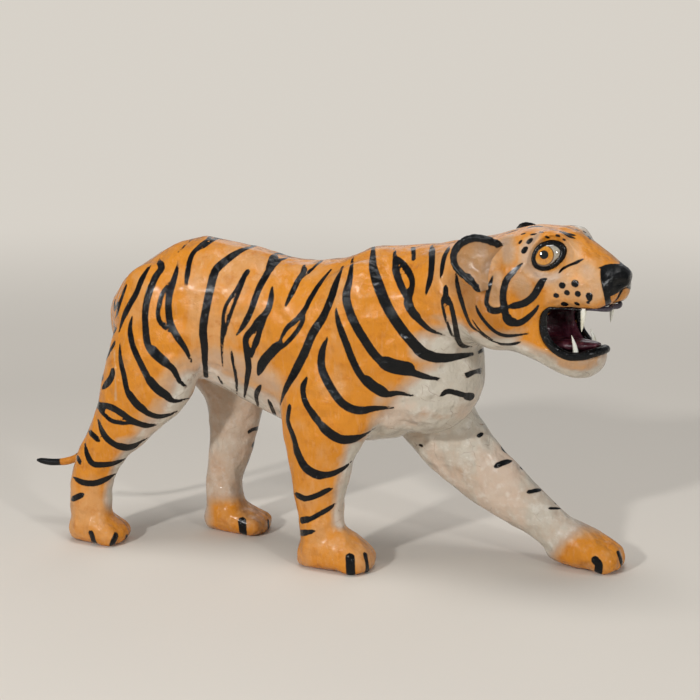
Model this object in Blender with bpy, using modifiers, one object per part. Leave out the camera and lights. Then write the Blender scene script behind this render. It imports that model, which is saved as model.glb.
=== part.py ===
"""Leather toy tiger: a moulded, leather-covered body with set-in eyes, ears, teeth, tongue and tail.

Metres, +Z up, +X towards the head, +Y to the tiger's left. The origin is on the floor, in the
middle of the figure's length and width. The tiger walks with both left legs forward, turns its
head to its own right and roars.
"""

import math

import bmesh
import bpy
import numpy as np
from mathutils import Matrix, Vector

MM = 0.001

# The figure's own datum is the floor under the front of its chest; this moves its middle to the origin.
FIGURE_SHIFT = Vector((16.5 * MM, 6.5 * MM, 0.0))

# Fit of one piece in another.
SOCKET_CLEARANCE = 0.3 * MM

# How finely the moulded body is made.
VOXEL = 2.7 * MM
SMOOTH_STEPS = 5
BODY_TRIANGLES_KEPT = 0.08
RING_SIDES = 28

# Head: where it sits, how far it turns to the tiger's right.
HEAD_FORWARD = 125.0 * MM
HEAD_SIDE = -16.0 * MM
HEAD_UP = 190.0 * MM
HEAD_TURN = math.radians(-15.0)

# Distance between the middles of the paws, side to side.
FRONT_TRACK = 62.0 * MM
HIND_TRACK = 60.0 * MM

# Eyes: glass balls, in the head's own frame (forward, left, up).
EYE_RADIUS = 9.2 * MM
EYE_FORWARD = 41.5 * MM
EYE_SIDE = 20.6 * MM
EYE_UP = 46.5 * MM
EYE_LOOKS_ASIDE = math.radians(55.0)
EYE_LOOKS_UP = math.radians(10.0)
LID_THICKNESS = 1.6 * MM
EYE_OPENING_HALF_LENGTH = 8.6 * MM
EYE_OPENING_HALF_HEIGHT = 6.6 * MM
EYE_OPENING_DEPTH = 6.0 * MM
EYE_OPENING_TILT = math.radians(22.0)

# Ears: flaps folded back against the head.
EAR_LENGTH = 38.0 * MM
EAR_HEIGHT = 35.0 * MM
EAR_THICKNESS = 3.4 * MM
EAR_CUP = 3.4 * MM
EAR_FORWARD = 1.0 * MM
EAR_SIDE = 38.5 * MM
EAR_UP = 38.5 * MM
EAR_SPREAD = math.radians(15.0)
EAR_LEAN = math.radians(20.0)
EAR_TURN = math.radians(-14.0)

# Mouth: the gap between the jaws and the hollow inside it.
MOUTH_CORNER = 41.5 * MM
UPPER_LIP_UP = 12.5 * MM
LOWER_LIP_UP = -19.5 * MM
LIP_FRONT_UP = -16.5 * MM
MOUTH_CENTRE = (50.0 * MM, 0.0, -4.0 * MM)
MOUTH_HOLLOW = (28.0 * MM, 18.5 * MM, 22.0 * MM)

# Canine teeth: bent cones with round roots.
UPPER_CANINE_LENGTH = 19.0 * MM
UPPER_CANINE_RADIUS = 2.3 * MM
LOWER_CANINE_LENGTH = 15.0 * MM
LOWER_CANINE_RADIUS = 2.2 * MM
TOOTH_ROOT_DEPTH = 4.5 * MM
UPPER_CANINE_FORWARD = 71.5 * MM
UPPER_CANINE_SIDE = 21.0 * MM
LOWER_CANINE_FORWARD = 62.0 * MM
LOWER_CANINE_SIDE = 13.5 * MM

# Tongue.
TONGUE_LENGTH = 44.0 * MM
TONGUE_HALF_WIDTH = 10.5 * MM
TONGUE_THICKNESS = 9.0 * MM
TONGUE_UP = -17.5 * MM
TONGUE_TIP_RISE = 3.5 * MM
TONGUE_BACK_RISE = 2.0 * MM

# Tail: a wired roll let into the rump.
TAIL_ROOT_RADIUS = 6.0 * MM
TAIL_TIP_RADIUS = 2.2 * MM

# The slab that cuts the soles flat; it is larger than the figure.
SLAB_LENGTH = 700.0 * MM
SLAB_WIDTH = 300.0 * MM
SLAB_DEPTH = 40.0 * MM

# Colours.
TIGER_ORANGE = (0.70, 0.27, 0.035, 1.0)
PALE_LEATHER = (0.60, 0.36, 0.17, 1.0)
EYE_AMBER = (0.80, 0.36, 0.03, 1.0)
TOOTH_IVORY = (0.85, 0.83, 0.74, 1.0)
MOUTH_MAROON = (0.16, 0.02, 0.035, 1.0)


def material(name, colour, roughness, metallic=0.0):
    """One plain Principled material."""
    made = bpy.data.materials.new(name)
    made.use_nodes = True
    shader = made.node_tree.nodes["Principled BSDF"]
    shader.inputs["Base Color"].default_value = colour
    shader.inputs["Roughness"].default_value = roughness
    shader.inputs["Metallic"].default_value = metallic
    made.diffuse_color = colour
    return made


def new_collection(name):
    """A collection linked to the scene."""
    made = bpy.data.collections.new(name)
    bpy.context.scene.collection.children.link(made)
    return made


def head_matrix():
    """Places the head's own frame (forward, left, up) in the figure."""
    place = Vector((HEAD_FORWARD, HEAD_SIDE, HEAD_UP)) + FIGURE_SHIFT
    return Matrix.Translation(place) @ Matrix.Rotation(HEAD_TURN, 4, "Z")


def ring(centre, forward, half_width, up, down, squareness=2.0):
    """One section: a rounded oval across the forward direction, with its own height above and below."""
    ahead = Vector(forward).normalized()
    side = Vector((0.0, 0.0, 1.0)).cross(ahead)
    if side.length < 0.01:
        side = Vector((0.0, 1.0, 0.0))
    side.normalize()
    rise = ahead.cross(side)
    angle = np.linspace(0.0, 2.0 * math.pi, RING_SIDES, endpoint=False)
    power = 2.0 / squareness
    across = half_width * np.sign(np.cos(angle)) * np.abs(np.cos(angle)) ** power
    height = np.sign(np.sin(angle)) * np.abs(np.sin(angle)) ** power
    height = np.where(height > 0.0, height * up, height * down)
    return np.array(centre) + np.outer(across, side) + np.outer(height, rise)


def skin(rings):
    """Points and faces of a closed form through the rings, with each end drawn to a point."""
    count = len(rings)
    sides = len(rings[0])
    points = np.concatenate(list(rings) + [[rings[0].mean(axis=0)], [rings[-1].mean(axis=0)]])
    first_pole = count * sides
    last_pole = first_pole + 1
    faces = []
    for row in range(count - 1):
        for column in range(sides):
            after = (column + 1) % sides
            a = row * sides + column
            b = row * sides + after
            faces.append((a, b, b + sides, a + sides))
    for column in range(sides):
        after = (column + 1) % sides
        faces.append((first_pole, after, column))
        faces.append((last_pole, (count - 1) * sides + column, (count - 1) * sides + after))
    return points, faces


def along_x(stations, side=0.0):
    """Rings across +X from (forward, middle height, up, down, half width) in millimetres."""
    made = []
    for forward, middle, up, down, half in stations:
        centre = (forward * MM, side * MM, middle * MM)
        made.append(ring(centre, (1, 0, 0), half * MM, up * MM, down * MM, 2.15))
    return made


def down_leg(stations, side):
    """Rings of a leg from (rear, its height, front, its height, half width, shift) in millimetres.

    Each ring is drawn between its rear and its front point, as the leg shows from the side, and
    shifted sideways from the line of the paws.
    """
    angle = np.linspace(0.0, 2.0 * math.pi, RING_SIDES, endpoint=False)
    left = np.array((0.0, 1.0, 0.0))
    made = []
    for rear, rear_height, front, front_height, half_width, shift in stations:
        back = np.array((rear, side + shift, rear_height))
        ahead = np.array((front, side + shift, front_height))
        middle = 0.5 * (back + ahead)
        reach = 0.5 * (ahead - back)
        points = middle + np.outer(np.cos(angle), reach) + np.outer(np.sin(angle) * half_width, left)
        made.append(points * MM)
    return made[::-1]


def ball(centre, radii, turn=0.0, sides=24):
    """Rings of an oval ball in millimetres, turned about the side axis by an angle in degrees."""
    levels = np.linspace(-0.5 * math.pi, 0.5 * math.pi, sides // 2 + 1)[1:-1]
    angle = np.linspace(0.0, 2.0 * math.pi, sides, endpoint=False)
    tip = math.radians(turn)
    made = []
    for level in levels:
        forward = np.full(sides, math.sin(level) * radii[0])
        across = math.cos(level) * radii[1] * np.cos(angle)
        rise = math.cos(level) * radii[2] * np.sin(angle)
        turned = forward * math.cos(tip) - rise * math.sin(tip)
        raised = forward * math.sin(tip) + rise * math.cos(tip)
        made.append((np.stack([turned, across, raised], axis=1) + np.array(centre)) * MM)
    return made


def mesh_of(name, forms):
    """A mesh of one or more closed forms, each moved by its own matrix."""
    points = []
    faces = []
    start = 0
    for rings, matrix in forms:
        form_points, form_faces = skin(rings)
        turned = form_points @ np.array(matrix.to_3x3()).T + np.array(matrix.translation)
        points.append(turned)
        faces.extend(tuple(index + start for index in face) for face in form_faces)
        start += len(form_points)
    made = bpy.data.meshes.new(name)
    made.from_pydata(np.concatenate(points).tolist(), [], faces)
    made.update()
    return made


def add_object(name, mesh, collection, finish=None):
    """An object for a mesh."""
    made = bpy.data.objects.new(name, mesh)
    collection.objects.link(made)
    if finish is not None:
        mesh.materials.append(finish)
    return made


def grown(name, source, clearance, collection):
    """A cutter: a copy of a piece, larger all round by the clearance."""
    copy = source.data.copy()
    copy.name = name
    points = np.empty(len(copy.vertices) * 3)
    copy.vertices.foreach_get("co", points)
    normals = np.empty(len(copy.vertices) * 3)
    copy.vertex_normals.foreach_get("vector", normals)
    copy.vertices.foreach_set("co", points + normals * clearance)
    copy.update()
    made = add_object(name, copy, collection)
    made.matrix_world = source.matrix_world
    as_cutter(made)
    return made


def as_cutter(piece):
    """Marks a piece as a tool that isn't part of the figure."""
    piece.hide_render = True
    piece.display_type = "WIRE"


def cut(piece, tool, name):
    """Cuts a tool out of a piece."""
    step = piece.modifiers.new(name, "BOOLEAN")
    step.operation = "DIFFERENCE"
    step.solver = "EXACT"
    step.object = tool


def trunk_forms():
    """Trunk, chest, shoulders and haunches, in the figure's frame."""
    trunk = along_x([
        (-181, 167, 7, 10, 7), (-176, 167, 19, 26, 15), (-168, 167, 30, 38, 25), (-155, 167, 40, 44, 34),
        (-140, 168, 49, 46, 38), (-125, 169, 56, 47, 39), (-105, 171, 59, 47, 37), (-80, 171, 55, 57, 37),
        (-60, 168, 54, 63, 38), (-40, 165, 52, 68, 40), (-20, 163, 53, 72, 42), (5, 161, 59, 74, 43),
        (25, 163, 67, 75, 43), (45, 167, 64, 75, 42), (65, 174, 59, 69, 40), (82, 183, 51, 58, 36),
        (95, 190, 43, 42, 29), (103, 194, 30, 28, 18),
    ])
    chest = ball((62, 3, 145), (43, 38, 50))
    right_shoulder = ball((20, -28, 168), (37, 17, 56), turn=-12)
    left_shoulder = ball((48, 28, 164), (38, 17, 54), turn=-20)
    right_haunch = ball((-131, -25, 163), (35, 19, 50), turn=10)
    left_haunch = ball((-122, 25, 163), (36, 19, 50), turn=-10)
    return [trunk, chest, right_shoulder, left_shoulder, right_haunch, left_haunch]


def leg_forms():
    """Four legs with their paws, in the figure's frame."""
    right_front = down_leg([
        (-24, 172, 44, 172, 13, 6), (-34, 137, 39, 137, 18, 3), (-36, 114, 37, 108, 18, 1),
        (-34, 97, 30, 97, 17, 0), (-30, 78, 19, 78, 15.5, 0), (-27, 65, 16, 65, 14.5, 0),
        (-25, 50, 12, 50, 14, 0), (-22, 36, 12, 36, 13.6, 0), (-21, 24, 13, 24, 14, 0),
        (-20, 10, 12, 10, 13, 0),
    ], FRONT_TRACK * -0.5 / MM)
    right_front_paw = along_x([
        (-22, 8, 8, 9, 9), (-14, 11, 13, 13, 15), (0, 12, 17, 14, 17.5), (12, 12, 17, 14, 18.8),
        (20, 11, 14.5, 13, 19), (28, 9, 9.5, 11, 17), (34, 7, 5, 8, 11.5),
    ], FRONT_TRACK * -0.5 / MM)
    left_front = down_leg([
        (6, 144, 73, 158, 14, -6), (23, 101, 81, 135, 17, -3), (52, 67.5, 93, 104.5, 17, -1),
        (84, 43.5, 114, 78, 16, 0), (110, 30, 134, 60, 15, 0), (133, 19.5, 151, 44, 14, 0),
        (150, 8, 166, 31.5, 13.5, 0), (158, 5, 172, 24, 12, 0),
    ], FRONT_TRACK * 0.5 / MM)
    left_front_paw = along_x([
        (146, 15, 10, 11, 10), (156, 16, 20, 15, 15.5), (168, 15, 18, 16, 18.3), (180, 13, 14.5, 14, 19.3),
        (191, 11, 10.5, 12, 18), (200, 9, 7.5, 9, 12.5),
    ], FRONT_TRACK * 0.5 / MM)
    right_hind = down_leg([
        (-158, 196, -106, 196, 11, 8), (-166, 166, -92, 164, 18, 3), (-171, 146, -98, 138, 19.5, 1),
        (-175, 131, -105, 117, 18.5, 0), (-178, 118, -116, 102, 17.2, 0), (-180, 108, -131, 90.5, 15.8, 0),
        (-184, 96, -146, 76, 14.6, 0), (-190, 84, -157, 67, 13.6, 0), (-198, 68, -165, 57, 12.8, 0),
        (-203, 55, -170, 48, 12.4, 0), (-205, 40, -172, 40, 12.3, 0), (-205.5, 25, -172, 25, 13, 0),
        (-204, 10, -174, 10, 12.5, 0),
    ], HIND_TRACK * -0.5 / MM)
    right_hind_paw = along_x([
        (-205, 8, 8, 9, 9), (-197, 11, 12, 12, 14), (-184, 12, 14, 14, 16.8), (-172, 10, 9.5, 12, 17.6),
        (-164, 8, 6.5, 9, 14),
    ], HIND_TRACK * -0.5 / MM)
    left_hind = down_leg([
        (-152, 196, -102, 196, 11, -8), (-158, 172, -88, 172, 18, -4), (-147, 138, -78, 152, 19, -1),
        (-131, 114, -74, 130, 17.5, 0), (-121, 101, -73, 104, 16, 0), (-118, 91, -76, 88, 14.5, 0),
        (-117.5, 71.5, -82.5, 64.5, 13.2, 0), (-119, 55, -88, 51, 12.5, 0), (-121, 39, -92, 39, 12.3, 0),
        (-121, 25, -91, 25, 13, 0), (-119, 10, -91, 10, 12.5, 0),
    ], HIND_TRACK * 0.5 / MM)
    left_hind_paw = along_x([
        (-121, 8, 8, 9, 9), (-112, 11, 12, 12, 14), (-99, 11.5, 13, 14, 16.8), (-86, 9.5, 9.5, 12, 17.6),
        (-76, 7.5, 6.5, 9, 14.5), (-71, 6, 4, 6, 9),
    ], HIND_TRACK * 0.5 / MM)
    return [
        right_front, right_front_paw, left_front, left_front_paw,
        right_hind, right_hind_paw, left_hind, left_hind_paw,
    ]


def toe_forms():
    """Four toes on each paw, from the paw's front, its side and its size."""
    made = []
    front_side = 0.5 * FRONT_TRACK / MM
    hind_side = 0.5 * HIND_TRACK / MM
    for front, side, size in ((36, -front_side, 1.0), (204, front_side, 1.0), (-158, -hind_side, 0.9),
                              (-68, hind_side, 0.9)):
        for place in (-1.5, -0.5, 0.5, 1.5):
            back = 10.5 + 2.6 * abs(place)
            centre = (front - back * size, side + place * 9.0 * size, 7.5 * size)
            made.append(ball(centre, (11 * size, 6.0 * size, 8.8 * size)))
    return made


def head_forms():
    """Neck, skull, muzzle, cheeks, brows, lids, nose and lower jaw, in the head's frame."""
    skull = along_x([
        (-62, 6, 36, 40, 36), (-45, 8, 38, 38, 38), (-25, 12, 38, 36, 39.5), (-5, 16, 39, 36, 40),
        (10, 18, 42, 36, 39.5), (22, 20, 43.5, 34, 38), (34, 22, 42, 30, 34.5), (46, 24, 39.5, 22, 30),
        (56, 25, 34.5, 17, 27), (66, 25, 28.5, 14, 25), (76, 24, 23.5, 12.5, 23.5), (83, 25, 18, 10.5, 19.5),
        (89, 27, 12.5, 8, 12.5),
    ])
    jaw = along_x([
        (2, -4, 14, 19, 30), (20, -8, 12, 17, 31), (36, -13, 12, 17, 28), (48, -18, 10, 18, 25),
        (58, -21.5, 10, 17, 21.5), (66, -22.5, 10, 14.5, 17), (72, -22, 9, 11, 11.5), (76.5, -20, 7, 7, 5),
    ])
    cheek_web = ball((30, 0, -2), (24, 29.5, 24))
    nose = ball((84, 0, 33), (11, 12.5, 9.5), turn=-8)
    made = [skull, jaw, cheek_web, nose]
    lid = (EYE_RADIUS + LID_THICKNESS) / MM
    for side in (-1, 1):
        made.append(ball((71, 13.0 * side, 22), (16, 12.5, 11)))
        made.append(ball((6, 21 * side, 8), (32, 21.5, 30)))
        eye_at = np.array((EYE_FORWARD, side * EYE_SIDE, EYE_UP)) / MM
        made.append(ball(eye_at + np.array((2.5, -4.6 * side, 8.5)), (13.5, 9.5, 8.0), turn=-8))
        made.append(ball(eye_at, (lid, lid, lid)))
    return made


def moulded_body(collection, finish):
    """The body: every form drawn together into one leather-covered solid."""
    shift = Matrix.Translation(FIGURE_SHIFT)
    forms = [(form, shift) for form in trunk_forms() + leg_forms() + toe_forms()]
    forms += [(form, head_matrix()) for form in head_forms()]
    body = add_object("body", mesh_of("body", forms), collection, finish)
    merge = body.modifiers.new("draw_together", "REMESH")
    merge.mode = "VOXEL"
    merge.voxel_size = VOXEL
    soften = body.modifiers.new("soften", "SMOOTH")
    soften.factor = 0.5
    soften.iterations = SMOOTH_STEPS
    thin = body.modifiers.new("fewer_faces", "DECIMATE")
    thin.ratio = BODY_TRIANGLES_KEPT
    return body


def floor_tool(collection):
    """A slab below the floor that cuts the soles flat."""
    bpy.ops.mesh.primitive_cube_add(size=1.0, location=(0.0, 0.0, -0.5 * SLAB_DEPTH))
    slab = bpy.context.object
    slab.name = "floor_tool"
    slab.scale = (SLAB_LENGTH, SLAB_WIDTH, SLAB_DEPTH)
    bpy.ops.object.transform_apply(location=False, rotation=False, scale=True)
    move_to(slab, collection)
    as_cutter(slab)
    return slab


def move_to(piece, collection):
    """Puts an object into one collection only."""
    for holder in list(piece.users_collection):
        holder.objects.unlink(piece)
    collection.objects.link(piece)


def jaw_gap_tool(collection):
    """The gap between the jaws: a side outline, cut across the whole muzzle."""
    reach = 60.0 * MM
    outline = [
        (MOUTH_CORNER, 1.0 * MM), (MOUTH_CORNER + 1.2 * MM, 6.5 * MM),
        (MOUTH_CORNER + 5.0 * MM, UPPER_LIP_UP - 1.2 * MM), (MOUTH_CORNER + 11.0 * MM, UPPER_LIP_UP),
        (MOUTH_CORNER + reach, UPPER_LIP_UP + 0.5 * MM), (MOUTH_CORNER + reach, LIP_FRONT_UP),
        (MOUTH_CORNER + 40.0 * MM, LIP_FRONT_UP), (MOUTH_CORNER + 33.0 * MM, LOWER_LIP_UP + 1.0 * MM),
        (MOUTH_CORNER + 26.0 * MM, LOWER_LIP_UP), (MOUTH_CORNER + 17.0 * MM, LOWER_LIP_UP + 1.0 * MM),
        (MOUTH_CORNER + 8.0 * MM, LOWER_LIP_UP + 5.5 * MM),
        (MOUTH_CORNER + 2.0 * MM, LOWER_LIP_UP + 13.0 * MM),
    ]
    curve = bpy.data.curves.new("jaw_gap", "CURVE")
    curve.dimensions = "2D"
    curve.fill_mode = "BOTH"
    curve.extrude = 48.0 * MM
    line = curve.splines.new("POLY")
    line.points.add(len(outline) - 1)
    for point, (forward, up) in zip(line.points, outline):
        point.co = (forward, up, 0.0, 1.0)
    line.use_cyclic_u = True
    drawn = bpy.data.objects.new("jaw_gap_curve", curve)
    collection.objects.link(drawn)
    drawn.matrix_world = head_matrix() @ Matrix.Rotation(math.radians(90.0), 4, "X")
    return mesh_from_curve(drawn, "jaw_gap_tool", collection)


def mesh_from_curve(drawn, name, collection):
    """A closed mesh object in place of a curve object."""
    bpy.context.view_layer.update()
    settled = drawn.evaluated_get(bpy.context.evaluated_depsgraph_get())
    made = bpy.data.meshes.new_from_object(settled)
    weld_caps(made)
    tool = add_object(name, made, collection)
    tool.matrix_world = drawn.matrix_world
    bpy.data.objects.remove(drawn)
    as_cutter(tool)
    return tool


def weld_caps(mesh):
    """Welds a curve's loose caps to its sides."""
    work = bmesh.new()
    work.from_mesh(mesh)
    bmesh.ops.remove_doubles(work, verts=work.verts, dist=0.01 * MM)
    bmesh.ops.recalc_face_normals(work, faces=work.faces)
    work.to_mesh(mesh)
    work.free()


def mouth_hollow_tool(collection):
    """The hollow of the mouth: an oval ball between the jaws."""
    centre = tuple(value / MM for value in MOUTH_CENTRE)
    radii = tuple(value / MM for value in MOUTH_HOLLOW)
    hollow = mesh_of("mouth_hollow", [(ball(centre, radii), head_matrix())])
    tool = add_object("mouth_hollow_tool", hollow, collection)
    as_cutter(tool)
    return tool


def eye_gaze(side):
    """Turns a frame whose +X is the way an eye looks; side is -1 for the right eye."""
    return Matrix.Rotation(side * EYE_LOOKS_ASIDE, 4, "Z") @ Matrix.Rotation(-EYE_LOOKS_UP, 4, "Y")


def eye_opening_tool(side, name, collection):
    """The opening between the lids: an oval, longer than high, tilted down at its outer corner."""
    centre = Matrix.Translation((EYE_FORWARD, side * EYE_SIDE, EYE_UP))
    tilt = Matrix.Rotation(side * EYE_OPENING_TILT, 4, "X")
    ahead = Matrix.Translation((EYE_RADIUS, 0.0, 0.0))
    radii = (EYE_OPENING_DEPTH / MM, EYE_OPENING_HALF_LENGTH / MM, EYE_OPENING_HALF_HEIGHT / MM)
    oval = ball((0, 0, 0), radii)
    place = head_matrix() @ centre @ eye_gaze(side) @ ahead @ tilt
    tool = add_object(name, mesh_of(name, [(oval, place)]), collection)
    as_cutter(tool)
    return tool


def eye(side, name, collection, finish):
    """A glass ball; side is -1 for the right eye and 1 for the left."""
    bpy.ops.mesh.primitive_uv_sphere_add(segments=24, ring_count=12, radius=EYE_RADIUS)
    ball_eye = bpy.context.object
    ball_eye.name = name
    ball_eye.data.name = name
    ball_eye.data.materials.append(finish)
    ball_eye.data.shade_smooth()
    move_to(ball_eye, collection)
    ball_eye.location = head_matrix() @ Vector((EYE_FORWARD, side * EYE_SIDE, EYE_UP))
    ball_eye.rotation_euler = (Matrix.Rotation(HEAD_TURN, 4, "Z") @ eye_gaze(side)).to_euler()
    bpy.context.view_layer.update()
    return ball_eye


def ear(side, name, collection, finish):
    """A cupped flap with a rounded edge; side is -1 for the right ear and 1 for the left."""
    rows = 7
    sides = 24
    angle = np.linspace(0.0, 2.0 * math.pi, sides, endpoint=False)
    half_length = 0.5 * EAR_LENGTH
    half_height = 0.5 * EAR_HEIGHT
    rings = []
    for level in np.linspace(-0.5 * math.pi, 0.5 * math.pi, 2 * rows + 1)[1:-1]:
        spread = math.cos(level) ** 0.6
        back = half_length * spread * np.cos(angle)
        up = half_height * spread * np.sin(angle)
        away = (back / half_length) ** 2 + (up / half_height) ** 2
        out = 0.5 * EAR_THICKNESS * math.sin(level) + EAR_CUP * (away - 0.5)
        rings.append(np.stack([-back, up, out], axis=1))
    flap = add_object(name, mesh_of(name, [(rings[::-1], Matrix.Identity(4))]), collection, finish)
    flap.data.shade_smooth()
    place = Matrix.Translation((EAR_FORWARD, side * EAR_SIDE, EAR_UP))
    upright = Matrix.Rotation(math.radians(90.0), 4, "X")
    facing = Matrix.Rotation(EAR_TURN, 4, "Y") @ upright
    if side > 0:
        facing = Matrix.Scale(-1.0, 4, (0, 1, 0)) @ facing
        flap.data.flip_normals()
    leaned = Matrix.Rotation(side * EAR_LEAN, 4, "X") @ facing
    flap.data.transform(head_matrix() @ place @ Matrix.Rotation(side * -EAR_SPREAD, 4, "Z") @ leaned)
    return flap


def canine(name, root, tip_back, length, radius, up, collection, finish):
    """A bent cone with a rounded root; up is 1 where the tip points up and -1 where it points down."""
    rings = []
    steps = 9
    sides = 12
    angle = np.linspace(0.0, 2.0 * math.pi, sides, endpoint=False)
    for step in range(steps):
        along = step / (steps - 1)
        size = radius * (1.0 - along) ** 0.62 * min(1.0, 0.75 + 2.0 * along)
        size = max(size, 0.28 * MM)
        bend = -tip_back * along ** 1.7
        centre = np.array((bend, 0.0, up * (along * length - TOOTH_ROOT_DEPTH)))
        rings.append(centre + np.stack([
            size * np.cos(angle), size * 0.85 * np.sin(angle), np.zeros(sides)], axis=1))
    if up < 0:
        rings = rings[::-1]
    place = head_matrix() @ Matrix.Translation(root)
    tooth = add_object(name, mesh_of(name, [(rings, place)]), collection, finish)
    tooth.data.shade_smooth()
    return tooth


def tongue_piece(collection, finish):
    """The tongue: a flat rounded form that lies on the floor of the mouth and lifts at its tip."""
    rings = []
    for along in np.linspace(0.0, 1.0, 11):
        forward = MOUTH_CENTRE[0] - 0.5 * TONGUE_LENGTH + TONGUE_LENGTH * along
        taper = math.sin(math.pi * min(1.0, 0.12 + 0.86 * along)) ** 0.45
        rise = TONGUE_UP + TONGUE_TIP_RISE * along ** 2 + TONGUE_BACK_RISE * (1.0 - along) ** 2
        rings.append(ring(
            (forward, 0.0, rise), (1, 0, 0), TONGUE_HALF_WIDTH * taper,
            0.5 * TONGUE_THICKNESS * taper, 0.42 * TONGUE_THICKNESS * taper, 2.3)[::2])
    tongue = add_object("tongue", mesh_of("tongue", [(rings, head_matrix())]), collection, finish)
    tongue.data.shade_smooth()
    return tongue


def tail_piece(collection, finish):
    """The tail: a tapered roll that leaves the rump, hangs between the hind legs and turns back."""
    route = [
        (-160, 0, 190), (-168, 0, 181), (-173.5, 0, 168), (-177.5, 0, 150), (-182, 0, 128), (-187.5, 0, 105),
        (-194, 0, 85), (-202, 0, 68), (-211, 0, 56.5), (-222, 0, 50.5), (-236, 0, 48), (-250, 0, 48.5),
    ]
    sides = 14
    angle = np.linspace(0.0, 2.0 * math.pi, sides, endpoint=False)
    count = len(route)
    rings = []
    for index, place in enumerate(route):
        before = Vector(route[max(index - 1, 0)])
        after = Vector(route[min(index + 1, count - 1)])
        line = (after - before).normalized()
        left = Vector((0.0, 1.0, 0.0))
        rise = line.cross(left)
        share = index / (count - 1)
        radius = TAIL_ROOT_RADIUS + (TAIL_TIP_RADIUS - TAIL_ROOT_RADIUS) * share
        if index == count - 1:
            radius *= 0.7
        points = np.outer(np.cos(angle) * radius, left) + np.outer(np.sin(angle) * radius, rise)
        rings.append(points + np.array(place) * MM)
    shift = Matrix.Translation(FIGURE_SHIFT)
    tail = add_object("tail", mesh_of("tail", [(rings, shift)]), collection, finish)
    tail.data.shade_smooth()
    return tail


def build():
    """Makes every piece and cuts the sockets that hold them."""
    for old in list(bpy.data.objects):
        bpy.data.objects.remove(old)
    parts = new_collection("leather_tiger")
    tools = new_collection("cutters")
    tools.hide_render = True
    orange = material("orange_leather", TIGER_ORANGE, 0.35)
    pale = material("pale_leather", PALE_LEATHER, 0.4)
    amber = material("amber_glass", EYE_AMBER, 0.06)
    ivory = material("ivory_tooth", TOOTH_IVORY, 0.3)
    maroon = material("maroon_mouth", MOUTH_MAROON, 0.3)

    body = moulded_body(parts, orange)
    cut(body, floor_tool(tools), "flat_soles")
    cut(body, jaw_gap_tool(tools), "jaw_gap")
    cut(body, mouth_hollow_tool(tools), "mouth_hollow")

    fitted = [tail_piece(parts, orange), tongue_piece(parts, maroon)]
    for side, word in ((-1, "right"), (1, "left")):
        cut(body, eye_opening_tool(side, word + "_eye_opening_tool", tools), word + "_eye_opening")
        fitted.append(eye(side, word + "_eye", parts, amber))
        fitted.append(ear(side, word + "_ear", parts, pale))
        upper_root = (UPPER_CANINE_FORWARD, side * UPPER_CANINE_SIDE, UPPER_LIP_UP)
        fitted.append(canine(
            "upper_" + word + "_canine", upper_root, 0.5 * MM, UPPER_CANINE_LENGTH,
            UPPER_CANINE_RADIUS, -1, parts, ivory))
        lower_root = (LOWER_CANINE_FORWARD, side * LOWER_CANINE_SIDE, LOWER_LIP_UP)
        fitted.append(canine(
            "lower_" + word + "_canine", lower_root, 3.5 * MM, LOWER_CANINE_LENGTH,
            LOWER_CANINE_RADIUS, 1, parts, ivory))
    for piece in fitted:
        socket = grown(piece.name + "_socket_tool", piece, SOCKET_CLEARANCE, tools)
        cut(body, socket, piece.name + "_socket")


build()
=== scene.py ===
"""The finish of a toy tiger: a moulded core covered in thin leather, painted by hand and lacquered.

Metres, +Z up, +X towards the head, +Y to the tiger's left. The tiger walks with both left legs
forward, turns its head to its own right and roars. Every piece rides on the one rigid body.
"""

import math

import bmesh
import bpy
import numpy as np
from mathutils import Matrix, Vector
from mathutils.bvhtree import BVHTree


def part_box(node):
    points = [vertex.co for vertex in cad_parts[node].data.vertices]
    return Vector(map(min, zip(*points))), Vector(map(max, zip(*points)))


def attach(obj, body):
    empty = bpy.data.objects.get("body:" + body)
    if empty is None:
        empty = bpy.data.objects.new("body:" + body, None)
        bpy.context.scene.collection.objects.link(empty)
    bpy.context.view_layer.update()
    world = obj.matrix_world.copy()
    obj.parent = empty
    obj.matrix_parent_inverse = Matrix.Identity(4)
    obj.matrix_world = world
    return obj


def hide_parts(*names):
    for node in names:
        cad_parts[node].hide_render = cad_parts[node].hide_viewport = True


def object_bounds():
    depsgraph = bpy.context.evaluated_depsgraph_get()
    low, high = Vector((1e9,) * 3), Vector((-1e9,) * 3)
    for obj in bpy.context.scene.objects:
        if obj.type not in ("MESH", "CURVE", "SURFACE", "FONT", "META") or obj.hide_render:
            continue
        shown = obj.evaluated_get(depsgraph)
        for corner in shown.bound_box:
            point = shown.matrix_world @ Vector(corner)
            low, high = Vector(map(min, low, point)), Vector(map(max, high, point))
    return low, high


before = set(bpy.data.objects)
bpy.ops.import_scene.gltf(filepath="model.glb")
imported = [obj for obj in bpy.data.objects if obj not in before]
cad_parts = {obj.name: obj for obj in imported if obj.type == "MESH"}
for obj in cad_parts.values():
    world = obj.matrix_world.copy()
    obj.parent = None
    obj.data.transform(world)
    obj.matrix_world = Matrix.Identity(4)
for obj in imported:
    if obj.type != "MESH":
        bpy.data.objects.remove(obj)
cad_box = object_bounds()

MM = 0.001


# The viewpoint
# The photograph looks at the tiger's right side, from a little ahead of it and above it. Paint
# marks are read from the photograph, so the viewpoint comes first and carries them to the leather.
PHOTO_PIXELS = 700
FOCAL_PIXELS = 2000.0
SENSOR_WIDTH = 36.0
VIEW_FROM = np.array((0.4964, -1.3120, 0.4439))
VIEW_AHEAD = np.array((-0.3313, 0.9213, -0.2035))
VIEW_RIGHT = np.array((0.9410, 0.3384, 0.0))
VIEW_UP = np.array((-0.0689, 0.1915, 0.9791))

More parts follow.
